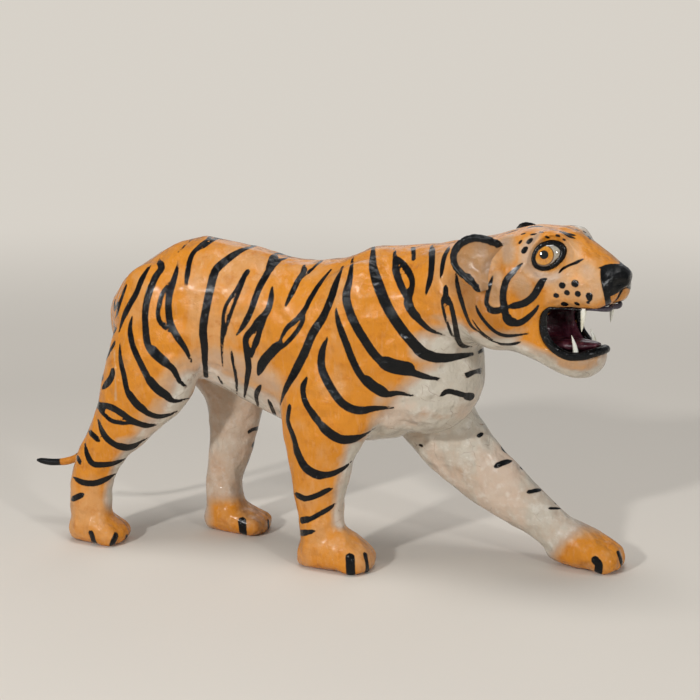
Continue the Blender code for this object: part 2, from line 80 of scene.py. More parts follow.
camera = bpy.data.objects.new("camera", bpy.data.cameras.new("camera"))
bpy.context.scene.collection.objects.link(camera)
bpy.context.scene.camera = camera
camera.data.sensor_width = SENSOR_WIDTH
camera.data.lens = SENSOR_WIDTH * FOCAL_PIXELS / PHOTO_PIXELS
stand = np.eye(4)
stand[:3, 0] = VIEW_RIGHT
stand[:3, 1] = VIEW_UP
stand[:3, 2] = -VIEW_AHEAD
stand[:3, 3] = VIEW_FROM
camera.matrix_world = Matrix(stand.tolist())


def sight_lines(pixels):
    """Unit directions through pixels: ahead, plus right and up by the pixel's share of the focal length."""
    offset = (np.asarray(pixels, float) - 0.5 * PHOTO_PIXELS) / FOCAL_PIXELS
    lines = VIEW_AHEAD + np.outer(offset[:, 0], VIEW_RIGHT) - np.outer(offset[:, 1], VIEW_UP)
    return lines / np.linalg.norm(lines, axis=1)[:, None]


# The moulded body
# One core of pressed paper under thin leather: trunk, neck, head, legs and paws in one. The leather
# was stretched on wet, so it lies in shallow dents and folds, with creases at the joints.
LEATHER_VOXEL = 2.2 * MM
SOCKET_FILL = 0.45 * MM
EAR_BED = 4.0 * MM
DENT_SIZE = 15.0 * MM
DENT_DEPTH = 0.62 * MM
SMALL_DENTS = 0.45
FOLD_SIZE = 11.0 * MM
FOLD_DEPTH = 0.22 * MM
FOLD_STRETCH = np.array((1.0, 1.0, 0.55))
FOLD_SHARP = 0.55
HEAD_CALM = 0.7
SOLE_FLAT_TO = 6.0 * MM
HEAD_AT = np.array((141.5, -9.5, 190.0)) * MM
HEAD_TURN = math.radians(-15.0)
HEAD_STARTS = -12.0 * MM
MID_PLANE = 6.5 * MM

HEAD_AHEAD = np.array((math.cos(HEAD_TURN), math.sin(HEAD_TURN), 0.0))
HEAD_LEFT = np.array((-math.sin(HEAD_TURN), math.cos(HEAD_TURN), 0.0))
HEAD_AXES = np.stack([HEAD_AHEAD, HEAD_LEFT, np.array((0.0, 0.0, 1.0))])


def in_head(points):
    """Points in the head's own frame: forward, left and up from the middle of the head's root."""
    return (points - HEAD_AT) @ HEAD_AXES.T


def from_head(points):
    """Points of the head's own frame, back in the row's frame."""
    return np.asarray(points) @ HEAD_AXES + HEAD_AT


def smooth_step(low, high, value):
    """0 below low, 1 above high, and 3t^2 - 2t^3 between them."""
    t = np.clip((value - low) / (high - low), 0.0, 1.0)
    return t * t * (3.0 - 2.0 * t)


def lumps(points, size, seed):
    """Smooth random lumps from -1 to 1: random values on a grid of that size, blended between its corners."""
    table = np.random.default_rng(seed).uniform(-1.0, 1.0, 4096)
    scaled = points / size + 97.3
    cell = np.floor(scaled).astype(np.int64)
    share = scaled - cell
    share = share * share * (3.0 - 2.0 * share)
    total = np.zeros(len(points))
    for corner in range(8):
        step = np.array((corner & 1, corner >> 1 & 1, corner >> 2 & 1))
        at = cell + step
        chance = table[(at[:, 0] * 73 + at[:, 1] * 179 + at[:, 2] * 283) % 4096]
        weight = np.prod(np.where(step == 1, share, 1.0 - share), axis=1)
        total += chance * weight
    return total


def merged_copy(node, grow, shift=(0.0, 0.0, 0.0)):
    """A copy of a CAD node's mesh: doubled corners merged, moved outwards by grow, then by shift."""
    work = bmesh.new()
    work.from_mesh(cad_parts[node].data)
    bmesh.ops.remove_doubles(work, verts=work.verts, dist=0.02 * MM)
    work.normal_update()
    for corner in work.verts:
        corner.co += corner.normal * grow + Vector(shift)
    made = bpy.data.meshes.new(node + "_copy")
    work.to_mesh(made)
    work.free()
    return made


def drawn_together(name, meshes, voxel, soften):
    """One smooth closed mesh round several: remeshed on a grid of voxel and softened."""
    joined = bmesh.new()
    for mesh in meshes:
        joined.from_mesh(mesh)
    rough = bpy.data.meshes.new(name)
    joined.to_mesh(rough)
    joined.free()
    piece = bpy.data.objects.new(name, rough)
    bpy.context.scene.collection.objects.link(piece)
    grid = piece.modifiers.new("grid", "REMESH")
    grid.mode = "VOXEL"
    grid.voxel_size = voxel
    relax = piece.modifiers.new("relax", "SMOOTH")
    relax.factor = 0.5
    relax.iterations = soften
    settled = piece.evaluated_get(bpy.context.evaluated_depsgraph_get())
    piece.modifiers.clear()
    piece.data = bpy.data.meshes.new_from_object(settled)
    piece.data.name = name
    return piece


def finer_where(piece, wanted, rounds):
    """Splits the faces whose corners are all wanted into four, and softens the new corners."""
    work = bmesh.new()
    work.from_mesh(piece.data)
    chosen = wanted(np.array([corner.co[:] for corner in work.verts]))
    edges = [edge for edge in work.edges if chosen[edge.verts[0].index] and chosen[edge.verts[1].index]]
    bmesh.ops.subdivide_edges(work, edges=edges, cuts=1, use_grid_fill=True)
    for _ in range(rounds):
        chosen = wanted(np.array([corner.co[:] for corner in work.verts]))
        inside = [corner for corner, is_chosen in zip(work.verts, chosen) if is_chosen]
        bmesh.ops.smooth_vert(
            work, verts=inside, factor=0.5, use_axis_x=True, use_axis_y=True, use_axis_z=True)
    work.to_mesh(piece.data)
    work.free()


def corners_of(piece):
    """A piece's corners and the way each one faces, as arrays."""
    count = len(piece.data.vertices)
    points = np.empty(count * 3)
    piece.data.vertices.foreach_get("co", points)
    facing = np.empty(count * 3)
    piece.data.vertex_normals.foreach_get("vector", facing)
    return points.reshape(-1, 3), facing.reshape(-1, 3)


def move_corners(piece, points):
    """Puts a piece's corners at new places."""
    piece.data.vertices.foreach_set("co", points.ravel())
    piece.data.update()


body = drawn_together("leather_body", [
    merged_copy("body", 0.0),
    merged_copy("right_eye", SOCKET_FILL),
    merged_copy("left_eye", SOCKET_FILL),
    merged_copy("right_ear", SOCKET_FILL, HEAD_LEFT * EAR_BED),
    merged_copy("left_ear", SOCKET_FILL, HEAD_LEFT * -EAR_BED),
], LEATHER_VOXEL, 3)
finer_where(body, lambda points: in_head(points)[:, 0] > HEAD_STARTS, 2)

points, facing = corners_of(body)
head_place = in_head(points)
on_head = smooth_step(-20.0 * MM, 10.0 * MM, head_place[:, 0])
dents = lumps(points, DENT_SIZE, 3) + SMALL_DENTS * lumps(points, SMALL_DENTS * DENT_SIZE, 4)
folds = 1.0 - 2.0 * np.abs(lumps(points * FOLD_STRETCH, FOLD_SIZE, 5))
lift = DENT_DEPTH * dents + FOLD_DEPTH * np.clip(folds - FOLD_SHARP, 0.0, 1.0) * 2.0
lift *= 1.0 - HEAD_CALM * on_head
lift *= smooth_step(0.5 * MM, SOLE_FLAT_TO, points[:, 2])
points = points + facing * lift[:, None]

# Toes: four on each paw, parted by shallow grooves at the paw's front. Each paw is given by its front
# and its side in millimetres, its size, and how far its back leans forward for each step up.
PAWS = (
    (52.5, -24.5, 1.0, 0.0), (220.5, 37.5, 1.0, 0.67), (-141.5, -23.5, 0.9, 0.0), (-51.5, 36.5, 0.9, 0.0))
TOE_GROOVES = (-9.0, 0.0, 9.0)
GROOVE_WIDTH = 1.5 * MM
GROOVE_DEPTH = 0.6 * MM
GROOVE_ENDS_UP = 26.0 * MM
GROOVE_ENDS_BACK = 30.0 * MM
GROOVE_FULL_WITHIN = 16.0 * MM
PAW_REACH = np.array((32.0, 22.0)) * MM
for front, side, size, lean in PAWS:
    from_front = front * MM - points[:, 0]
    on_paw = (np.abs(from_front) < PAW_REACH[0]) & (np.abs(points[:, 1] - side * MM) < PAW_REACH[1])
    low = smooth_step(GROOVE_ENDS_UP * size, GROOVE_FULL_WITHIN * size, points[:, 2])
    near_front = smooth_step(GROOVE_ENDS_BACK * size, GROOVE_FULL_WITHIN * size, from_front)
    for place in TOE_GROOVES:
        across = points[:, 1] - (side + place * size) * MM
        groove = np.exp(-(across / GROOVE_WIDTH) ** 2) * low * near_front * on_paw
        points = points - facing * (GROOVE_DEPTH * groove)[:, None]

# Nostrils: a comma-shaped hollow in each side of the nose, with a raised fold above it. Each is an
# oval spot of the head, given by its middle and radii in millimetres.
NOSTRIL = (np.array((91.0, 8.0, 30.5)), np.array((5.0, 4.2, 2.2)))
NOSTRIL_DEPTH = 1.9 * MM
NOSE_FOLD = (np.array((86.0, 11.0, 35.5)), np.array((7.0, 4.0, 1.8)))
NOSE_FOLD_HEIGHT = 0.8 * MM


def in_spot(spot, side):
    """A bell curve over an oval spot of the head: 1 in its middle, mirrored where side is -1."""
    middle, radii = spot
    away = (head_place - middle * np.array((1.0, side, 1.0)) * MM) / radii
    return np.exp(-(np.linalg.norm(away, axis=1) / MM) ** 2)


for side in (-1.0, 1.0):
    hollow = NOSTRIL_DEPTH * in_spot(NOSTRIL, side) - NOSE_FOLD_HEIGHT * in_spot(NOSE_FOLD, side)
    points = points - facing * hollow[:, None]

# Under the nose the two pads of the upper lip are parted by a deep groove.
PARTING_DEPTH = 6.5
PARTING_WIDTH = 4.2
s, t, up = (head_place / MM).T
parting = PARTING_DEPTH * np.exp(-(t / PARTING_WIDTH) ** 2)
parting *= smooth_step(28.5, 24.0, up) * smooth_step(9.0, 14.0, up) * smooth_step(72.0, 80.0, s)
points = points - HEAD_AHEAD * (parting * MM)[:, None]

# Eye sockets: inside the rim the leather lies behind the glass, and outside it slopes up to the face.
# The rim is traced on the plane of the near eye's opening, and the far eye is its mirror image.
HEAD_VIEW = (440.0, 210.0, 7.467)
EYE_AT = np.array((41.5, -20.6, 46.5))
EYE_FACES = (math.radians(-61.0), math.radians(9.0))
EYE_SEEN = (808, 344)
SOCKET_SHARES = (0.0, 0.84, 1.0, 1.16, 2.5)
SOCKET_HEIGHTS = (-2.2, -2.2, 0.0, 1.2, 13.0)
SOCKET_ENDS = 2.3
RIM_SEEN = [(697, 372), (708, 318), (752, 266), (818, 245), (884, 254), (920, 292), (914, 340), (880, 386),
            (828, 424), (768, 438), (716, 418)]
eye_out = from_head(np.array((
    math.cos(EYE_FACES[0]) * math.cos(EYE_FACES[1]), math.sin(EYE_FACES[0]) * math.cos(EYE_FACES[1]),
    math.sin(EYE_FACES[1])))) - HEAD_AT
eye_aside = np.cross(eye_out, np.array((0.0, 0.0, 1.0)))
eye_aside /= np.linalg.norm(eye_aside)
eye_over = np.cross(eye_aside, eye_out)


def on_plane(pixels, place, out):
    """Where the sight lines through pixels of the head's view meet the plane through place, across out."""
    lines = sight_lines(np.asarray(pixels, float) / HEAD_VIEW[2] + np.array(HEAD_VIEW[:2]))
    reach = ((place - VIEW_FROM) @ out) / (lines @ out)
    return VIEW_FROM + lines * reach[:, None]


def mirrored(places, side):
    """Places of the near side of the head as they are, or carried straight to the far side."""
    return places if side < 0.0 else from_head(in_head(places) * np.array((1.0, -1.0, 1.0)))


eye_middle = on_plane([EYE_SEEN], from_head(EYE_AT * MM), eye_out)[0]
rim_near = on_plane(RIM_SEEN, eye_middle, eye_out)
rim_turn = np.arctan2((rim_near - eye_middle) @ eye_over, (rim_near - eye_middle) @ eye_aside)
rim_reach = np.linalg.norm(rim_near - eye_middle, axis=1) / MM


def rim_radius(turn):
    """How far the rim's middle line lies from the eye's, in millimetres, at each turn round it."""
    return np.interp(turn, rim_turn, rim_reach, period=2.0 * math.pi)


for side in (-1.0, 1.0):
    away = (mirrored(points, side) - eye_middle) / MM
    height = away @ eye_out
    flat = np.hypot(away @ eye_aside, away @ eye_over)
    share = flat / rim_radius(np.arctan2(away @ eye_over, away @ eye_aside))
    most = np.interp(share, SOCKET_SHARES, SOCKET_HEIGHTS)
    near = (share < SOCKET_ENDS) & (height > -8.0) & (height < 22.0)
    cut = np.where(near, np.maximum(height - most, 0.0), 0.0)
    out = mirrored(eye_out + HEAD_AT, side) - HEAD_AT
    points = points - out * (cut * MM)[:, None]

low_corner, high_corner = (np.array(corner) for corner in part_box("body"))
points = np.clip(points, low_corner, high_corner)
move_corners(body, points)
body.data.shade_smooth()
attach(body, "root")
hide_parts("body")


# The ears
# Leather flaps cut to a rounded shape, cupped, and folded back against the head. The edge is rolled
# over and painted black; the hollow side is left tan.
EAR_VOXEL = 0.9 * MM
EAR_ROLL = 1.0
EAR_HOLLOW = 1.2
EAR_SINKS = 7.0
EAR_BAND = 5.5
EAR_BAND_SEEN = 46.0
EAR_EDGE_SEEN = [(445, 256), (400, 240), (330, 219), (265, 209), (200, 224), (142, 265), (110, 315),
                 (103, 362), (118, 422), (155, 468), (203, 504), (247, 545), (290, 598)]
EAR_CREASES = 0.25
EAR_PAINTED_SHADE = 0.75
BEARINGS = range(0, 360, 5)
FAR_FROM_MOUTH = -9.0


def set_value(piece, name, values):
    """Keeps one number for each corner of a piece, for its material to read."""
    kept = piece.data.attributes.new(name, "FLOAT", "POINT")
    kept.data.foreach_set("value", values.astype(np.float32))


ears = {}
for side, word in ((-1.0, "right"), (1.0, "left")):
    flap = drawn_together(word + "_ear_flap", [merged_copy(word + "_ear", 0.5 * MM)], EAR_VOXEL, 2)
    points, facing = corners_of(flap)
    middle = points.mean(axis=0)
    _, axes = np.linalg.eigh(np.cov((points - middle).T))
    out = axes[:, 0] * np.sign(axes[:, 0] @ HEAD_LEFT) * side
    ahead = HEAD_AHEAD - out * (out @ HEAD_AHEAD)
    ahead /= np.linalg.norm(ahead)
    rise = np.cross(ahead, out) * side
    if side < 0.0:
        edge_near = on_plane(EAR_EDGE_SEEN, middle, out)
    edge = (mirrored(edge_near, side) - middle) / MM
    edge_bearing = np.degrees(np.arctan2(edge @ rise, edge @ ahead)) % 360.0
    edge_reach = np.hypot(edge @ rise, edge @ ahead)
    along = (points - middle) @ ahead / MM
    height = (points - middle) @ rise / MM
    bearing = np.degrees(np.arctan2(height, along)) % 360.0
    reach = np.hypot(along, height)
    outline = np.array([reach[np.abs((bearing - turn + 180.0) % 360.0 - 180.0) < 6.0].max()
                        for turn in BEARINGS])
    own_edge = np.interp(bearing, BEARINGS, outline, period=360.0)
    open_edge = smooth_step(edge_bearing[0] - 20.0, edge_bearing[0] + 8.0, bearing)
    open_edge *= smooth_step(edge_bearing[-1] + 16.0, edge_bearing[-1] - 8.0, bearing)
    wanted = np.interp(bearing, edge_bearing, edge_reach) + 0.45 * EAR_BAND
    grown = 1.0 + open_edge * (wanted / own_edge - 1.0)
    share = reach / own_edge
    more = (grown - 1.0)[:, None] * MM
    points = points + (ahead * along[:, None] + rise * height[:, None]) * more
    # The edge is rolled, the middle is hollow, and the front dips into the head.
    band = EAR_BAND / (own_edge * grown)
    roll = EAR_ROLL * np.exp(-((share - 1.0 + 0.5 * band) / (0.5 * band)) ** 2) * open_edge
    hollow = EAR_HOLLOW * np.exp(-((share - 0.3) / 0.4) ** 2)
    dip = EAR_SINKS * smooth_step(2.0, 15.0, along) * (1.0 - 0.6 * open_edge)
    creases = EAR_CREASES * lumps(points, 6.0 * MM, 8)
    points = points + out * ((roll - hollow - dip + creases) * MM)[:, None]
    points = np.clip(points, np.array(cad_box[0]), np.array(cad_box[1]))
    move_corners(flap, points)
    flap.data.shade_smooth()
    painted = smooth_step(edge_bearing[0] - 8.0, edge_bearing[0] - 2.0, bearing)
    painted *= smooth_step(edge_bearing[-1] + 8.0, edge_bearing[-1] + 2.0, bearing)
    band_edge = 1.0 - band * (1.0 + 0.12 * lumps(points, 5.0 * MM, 9)) + 0.6 * (1.0 - painted)
    set_value(flap, "ink", (band_edge - share) * own_edge)
    set_value(flap, "pale", 0.56 - 0.10 * smooth_step(0.3, 0.9, share) + 0.12 * lumps(points, 9.0 * MM, 10))
    set_value(flap, "mouth", np.full(len(points), FAR_FROM_MOUTH))
    # The whole ear's paint is darkened a little: painted shade.
    set_value(flap, "dull", np.full(len(points), EAR_PAINTED_SHADE))
    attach(flap, "root")
    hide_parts(word + "_ear")
    ears[word] = flap


# The painted marks
# Black lacquer laid on with a soft brush: each stripe is one stroke that starts and ends in a point.
# The strokes are listed as they are seen in enlarged parts of the photograph: where the part starts,
# how much it is enlarged, then each stroke's greatest width and the points that it passes.
HEAD_STROKES = [
    (36, (395, 490), (372, 560), (352, 640), (348, 700), (385, 742), (440, 752), (500, 745)),
    (54, (612, 400), (560, 450), (505, 510), (480, 570), (470, 640), (475, 700), (485, 760), (500, 812),
     (540, 842), (600, 840), (660, 800), (710, 750), (735, 712)),
    (56, (500, 725), (570, 712), (640, 690), (700, 640), (735, 580), (765, 530), (795, 512)),
    (72, (490, 790), (520, 830), (570, 842)), (52, (360, 735), (400, 752), (470, 745)),
    (31, (262, 700), (290, 770), (340, 840), (400, 900), (470, 935), (550, 937), (660, 922)),
    (17, (238, 815), (285, 885), (335, 932), (395, 968)),
    (30, (430, 998), (480, 1003), (540, 1002), (600, 985)),
    (40, (118, 455), (130, 560), (155, 660), (190, 770), (230, 860), (290, 910)),
    (16, (260, 885), (340, 950), (410, 985), (490, 1002)),
    (50, (42, 565), (42, 640), (46, 710)),
    (28, (34, 620), (18, 670), (20, 720), (38, 800), (68, 880), (98, 945), (140, 1000)),
    (44, (60, 640), (80, 700), (100, 790), (118, 880), (132, 955), (155, 1002), (190, 1020), (240, 1020)),
    (30, (0, 1102), (80, 1106), (160, 1092), (250, 1077)), (32, (190, 1248), (250, 1215), (312, 1184)),
    (28, (885, 475), (915, 440), (960, 415), (1010, 395), (1070, 365)),
    (24, (592, 250), (608, 225)), (48, (662, 240), (680, 220)), (48, (624, 312), (640, 284)),
    (18, (605, 182), (640, 172)), (22, (676, 184), (722, 178)), (12, (740, 162), (772, 168)),
    (22, (786, 198), (816, 209)),
]
NEAR_HEAD_STROKES = [
    (34, (892, 156), (925, 176), (960, 196), (1012, 212)), (34, (918, 162), (960, 180), (1012, 188)),
    (30, (828, 146), (868, 152)), (24, (866, 190), (894, 197)), (20, (918, 219), (936, 225)),
    (24, (1008, 146), (1032, 150)), (22, (1070, 158), (1088, 170)), (22, (1110, 194), (1119, 218)),
    (34, (655, 134), (700, 122), (770, 124)), (28, (495, 178), (540, 160), (592, 143)),
    (20, (740, 162), (772, 168)),
]
WHISKER_DOTS = [
    (912, 562, 26), (1008, 548, 30), (868, 638, 21), (948, 617, 22), (1028, 625, 24), (1113, 640, 27),
    (930, 703, 29), (1022, 700, 22), (1105, 690, 13), (1116, 660, 20),
]
FLANK_VIEW = (250.0, 230.0, 6.817)
FLANK_STROKES = [
    (64, (170, 165), (150, 225), (125, 290)), (28, (255, 188), (205, 208), (150, 262)),
    (40, (170, 180), (140, 240), (110, 300), (60, 390), (0, 520)),
    (40, (150, 390), (140, 480), (110, 560), (50, 620), (0, 690)), (36, (80, 660), (30, 780), (10, 870)),
    (42, (370, 235), (365, 285), (330, 340), (290, 420), (235, 530)),
    (28, (505, 195), (440, 250), (375, 315)),
    (40, (558, 262), (480, 360), (410, 470), (375, 540), (320, 610), (250, 670), (195, 775)),
    (32, (370, 555), (355, 630), (312, 700), (250, 770), (195, 820)),
    (70, (215, 765), (150, 830), (90, 900), (55, 985)),
    (62, (632, 248), (590, 350), (550, 470), (500, 590), (430, 700), (370, 840), (300, 980), (240, 1090),
     (205, 1190)),
    (52, (583, 530), (605, 640), (650, 760), (700, 890), (760, 1000), (840, 1080), (920, 1120), (1010, 1112),
     (1120, 1130)), (74, (770, 1000), (850, 1070), (940, 1115)),
    (62, (700, 190), (680, 330), (655, 450), (680, 560), (720, 650), (780, 750), (850, 850), (930, 920),
     (1020, 950), (1100, 970), (1200, 1000), (1300, 1020)),
    (108, (880, 890), (980, 930), (1060, 945), (1095, 950)),
    (74, (840, 100), (838, 240), (870, 360), (920, 490), (980, 600), (1060, 710), (1140, 800), (1220, 860),
     (1330, 872), (1430, 860), (1520, 845)), (80, (1120, 790), (1190, 845), (1270, 870)),
    (50, (985, 125), (990, 230), (1000, 300), (1040, 400), (1080, 470), (1110, 560), (1160, 620), (1230, 680),
     (1325, 718)), (48, (1000, 180), (1065, 260), (1105, 340), (1098, 420), (1085, 480)),
    (66, (1060, 470), (1110, 560), (1160, 610)),
    (50, (1238, 100), (1240, 200), (1230, 320), (1197, 440)), (38, (1360, 110), (1320, 200), (1300, 340)),
    (58, (527, 735), (492, 830), (487, 930), (520, 1020), (580, 1120), (640, 1190), (740, 1230), (860, 1215),
     (980, 1210)),
    (46, (390, 1000), (360, 1080), (380, 1180), (430, 1250), (480, 1295)), (38, (272, 1190), (255, 1290)),
    (32, (75, 1055), (42, 1120), (55, 1210)), (32, (125, 1155), (150, 1220), (175, 1275)),
    (38, (1300, 1130), (1350, 1100), (1440, 1120), (1500, 1140)), (58, (1470, 1130), (1525, 1142)),
]
HIP_VIEW = (90.0, 220.0, 7.127)
HIP_STROKES = [
    (16, (770, 106), (700, 160), (622, 235)), (14, (1015, 135), (1045, 141)), (14, (1055, 158), (1085, 150)),
    (42, (872, 108), (790, 180), (732, 240), (706, 310), (692, 400), (680, 490)),
    (28, (962, 108), (870, 150), (790, 210)),
    (62, (1185, 182), (1080, 215), (980, 280), (910, 340), (880, 400), (850, 520), (825, 640), (805, 780),
     (815, 900), (820, 1020), (826, 1125)),
    (28, (1128, 360), (1095, 400), (1040, 500), (965, 620), (945, 760), (940, 900), (945, 1050)),
    (28, (1120, 370), (1075, 480), (1020, 620), (978, 740), (950, 860)), (40, (1128, 358), (1092, 410)),
    (46, (1310, 260), (1270, 370), (1200, 500), (1150, 640), (1100, 740), (1045, 820)),
    (50, (1303, 475), (1285, 600), (1230, 700), (1150, 790), (1110, 850), (1120, 960), (1130, 1050),
     (1115, 1160), (1100, 1270)), (38, (1270, 640), (1215, 780), (1190, 870), (1150, 940)),
    (26, (997, 895), (1020, 1020), (1040, 1120), (1047, 1245)),
    (22, (912, 1108), (945, 1175)), (36, (1217, 1175), (1185, 1250), (1198, 1325)),
    (34, (1272, 1280), (1322, 1395)),
]
THIGH_STROKES = [
    (52, (493, 280), (510, 340), (470, 400), (420, 520), (395, 640), (395, 760), (410, 880), (450, 950),
     (520, 1010), (590, 1060), (640, 1150), (690, 1190)), (68, (430, 905), (490, 975), (570, 1040)),
    (50, (490, 290), (508, 340), (470, 400)),
    (48, (635, 290), (600, 420), (565, 540), (560, 640), (575, 740), (620, 830), (680, 920), (725, 1015)),
    (34, (562, 445), (510, 540), (485, 650), (495, 720), (540, 770), (600, 810)),
    (46, (430, 320), (370, 420), (330, 520), (280, 610), (240, 690), (205, 800)),
    (34, (262, 455), (230, 540), (200, 640), (180, 700)),
    (48, (300, 690), (285, 780), (300, 880), (340, 980), (390, 1080), (440, 1170), (520, 1240), (600, 1290),
     (725, 1268)), (66, (400, 1110), (480, 1205), (580, 1270)),
    (46, (215, 880), (215, 980), (240, 1100), (270, 1230), (330, 1310), (400, 1370), (480, 1400), (560, 1390),
     (625, 1362)), (62, (260, 1210), (330, 1310), (410, 1370)),
    (34, (182, 862), (150, 920), (118, 972)), (60, (165, 1060), (145, 1135), (85, 1200)),
]
HIND_VIEW = (40.0, 380.0, 6.031)
HIND_STROKES = [
    (44, (345, 140), (430, 166), (500, 206), (560, 248), (640, 275), (710, 268)),
    (28, (345, 165), (385, 205), (430, 244), (490, 258), (570, 262)), (50, (345, 150), (390, 168)),
    (42, (350, 240), (380, 320), (430, 375), (500, 405), (570, 392), (650, 348)),
    (56, (450, 395), (540, 408), (590, 385)), (36, (295, 308), (358, 370)),
    (40, (270, 380), (285, 450), (320, 505), (400, 510), (470, 495), (522, 472)),
    (34, (222, 462), (248, 505)), (38, (198, 588), (260, 618), (330, 622), (400, 597), (458, 565)),
    (36, (188, 722), (265, 688)),
]
FORE_VIEW = (260.0, 380.0, 6.533)
FORE_STROKES = [
    (44, (300, 0), (280, 80), (310, 170), (370, 260), (440, 330), (520, 380), (600, 385), (680, 360),
     (750, 315)),
    (44, (195, 160), (180, 260), (220, 380), (250, 480), (300, 570), (380, 615), (460, 615), (540, 580),
     (600, 530)),
    (36, (225, 745), (290, 775), (370, 755), (430, 725), (475, 705)),
    (32, (260, 915), (320, 910), (390, 875), (450, 840), (495, 805)),
    (30, (260, 1000), (310, 995), (360, 985)),
    (64, (370, 262), (440, 335), (520, 385), (600, 388), (680, 362)),
    (62, (222, 400), (250, 490), (300, 575), (380, 620), (460, 615)),
]
INNER_VIEW = (400.0, 380.0, 6.272)
INNER_STROKES = [
    (24, (250, 100), (300, 72), (400, 95), (460, 110)), (26, (485, 355), (520, 335)),
    (34, (590, 545), (645, 520), (700, 505)), (27, (795, 705), (890, 685)), (19, (930, 805), (1010, 805)),
]
BLUNT_STROKES = [
    (HIND_VIEW, 44, (308, 925), (328, 980)), (HIND_VIEW, 44, (460, 935), (432, 1005)),
    (HIND_VIEW, 24, (522, 935), (522, 980)), (HIND_VIEW, 56, (1218, 850), (1225, 925)),
    (HIND_VIEW, 26, (1376, 850), (1380, 925)), (HIND_VIEW, 30, (1262, 312), (1285, 298), (1330, 288)),
    (FORE_VIEW, 68, (588, 1160), (592, 1270)), (FORE_VIEW, 42, (688, 1140), (704, 1260)),
    (FORE_VIEW, 46, (240, 752), (290, 775)), (FORE_VIEW, 50, (272, 918), (312, 910)),
    (FORE_VIEW, 46, (268, 1000), (300, 996)), (FORE_VIEW, 26, (1046, 426), (1056, 431)),
    (INNER_VIEW, 58, (1224, 1130), (1246, 1160), (1242, 1205)),
    (INNER_VIEW, 40, (1372, 1085), (1392, 1150), (1390, 1195)),
    (HIP_VIEW, 40, (820, 1010), (827, 1115)), (FLANK_VIEW, 36, (1112, 120), (1116, 200)),
    (HEAD_VIEW, 46, (1215, 730), (1270, 716), (1325, 722)), (HEAD_VIEW, 56, (1245, 630), (1258, 700)),
]
# A stroke's shares of its length where it swells and thins, and of its width at its very ends.
STROKE_SWELLS = 0.22
STROKE_THINS = 0.30
STROKE_POINT = 0.28
MARK_WIDTH = 0.9


def flowing(points, step):
    """A smooth line through points, with a sample each step.

    Between two points it is a cubic, and it passes each point along the chord of its neighbours.
    """
    given = np.asarray(points, float)
    length = np.linalg.norm(np.diff(given, axis=0), axis=1).sum()
    ends = np.vstack([2.0 * given[0] - given[1], given, 2.0 * given[-1] - given[-2]])
    along = np.linspace(0.0, len(given) - 1.0, max(int(length / step), 3) + 1)
    start = np.minimum(along.astype(int), len(given) - 2)
    t = (along - start)[:, None]
    a, b, c, d = (ends[start + k] for k in range(4))
    return 0.5 * (2.0 * b + (c - a) * t + (2.0 * a - 5.0 * b + 4.0 * c - d) * t ** 2
                  + (3.0 * b - a - 3.0 * c + d) * t ** 3)


def tapered(count):
    """A brush stroke's width along its length, as shares of its greatest: a quarter sine at each end."""
    along = np.linspace(0.0, 1.0, count)
    ends = np.minimum(along / STROKE_SWELLS, (1.0 - along) / STROKE_THINS)
    return STROKE_POINT + (1.0 - STROKE_POINT) * np.sin(0.5 * math.pi * np.clip(ends, 0.0, 1.0))


def blunt(count):
    """A mark's width along its length where both of its ends are blunt."""
    return np.full(count, MARK_WIDTH)


def leather_surface(pieces):
    """One search tree of the given pieces' faces, for laying paint on them."""
    corners = []
    faces = []
    start = 0
    for piece in pieces:
        corners.extend(corner.co[:] for corner in piece.data.vertices)
        faces.extend(tuple(index + start for index in face.vertices) for face in piece.data.polygons)
        start = len(corners)
    return BVHTree.FromPolygons(corners, faces)


leather = leather_surface([body, ears["right"], ears["left"]])


def laid_on(view, width, points, shape=tapered):
    """A stroke seen in an enlarged part of the photograph, laid on the leather: places and half widths."""
    across, down, scale = view
    line = flowing(points, 4.0)
    pixels = line / scale + np.array((across, down))
    half = 0.5 * width / scale * shape(len(line))
    places = []
    halves = []
    for direction, reach in zip(sight_lines(pixels), half):
        hit, _, _, distance = leather.ray_cast(Vector(VIEW_FROM), Vector(direction))
        if hit is not None:
            places.append(hit[:])
            halves.append(reach * distance / FOCAL_PIXELS)
    return np.array(places).reshape(-1, 3), np.array(halves)


def filled_in(places, halves):
    """The same stroke with three more samples in each stretch that is shorter than 12 mm."""
    if len(places) < 2:
        return places, halves
    near = np.linalg.norm(np.diff(places, axis=0), axis=1) < 12.0 * MM
    more = [places]
    more_halves = [halves]
    for share in (0.25, 0.5, 0.75):
        between = places[:-1] + (places[1:] - places[:-1]) * share
        more.append(between[near])
        more_halves.append((halves[:-1] + (halves[1:] - halves[:-1]) * share)[near])
    return np.concatenate(more), np.concatenate(more_halves)


def snapped(places):
    """Places moved to the nearest leather."""
    return np.array([leather.find_nearest(Vector(place))[0][:] for place in places]).reshape(-1, 3)


def across_trunk(places):
    """Places carried to the tiger's other side, and to the nearest leather there."""
    other = places * np.array((1.0, -1.0, 1.0)) + np.array((0.0, 2.0 * MID_PLANE, 0.0))
    return snapped(other)


def across_head(places):
    """Places carried to the other side of the head, and to the nearest leather there."""
    return snapped(from_head(in_head(places) * np.array((1.0, -1.0, 1.0))))


# Each leg's middle line, forward and up in millimetres, from the trunk down to the paw.
RIGHT_FORE_LINE = MM * np.array([
    (26, 200), (26, 172), (19, 137), (16, 111), (14, 97), (11, 65), (10, 50), (12, 10)])
LEFT_FORE_LINE = MM * np.array([
    (46, 200), (52, 158), (68, 118), (89, 86), (115, 61), (139, 45), (158, 32), (182, 15)])
RIGHT_HIND_LINE = MM * np.array([
    (-115, 196), (-112, 166), (-118, 142), (-124, 124), (-138, 99), (-156, 75), (-170, 51), (-172, 10)])
LEFT_HIND_LINE = MM * np.array([
    (-110, 196), (-106, 172), (-95, 145), (-86, 122), (-80, 98), (-83, 68), (-88, 46), (-88, 10)])


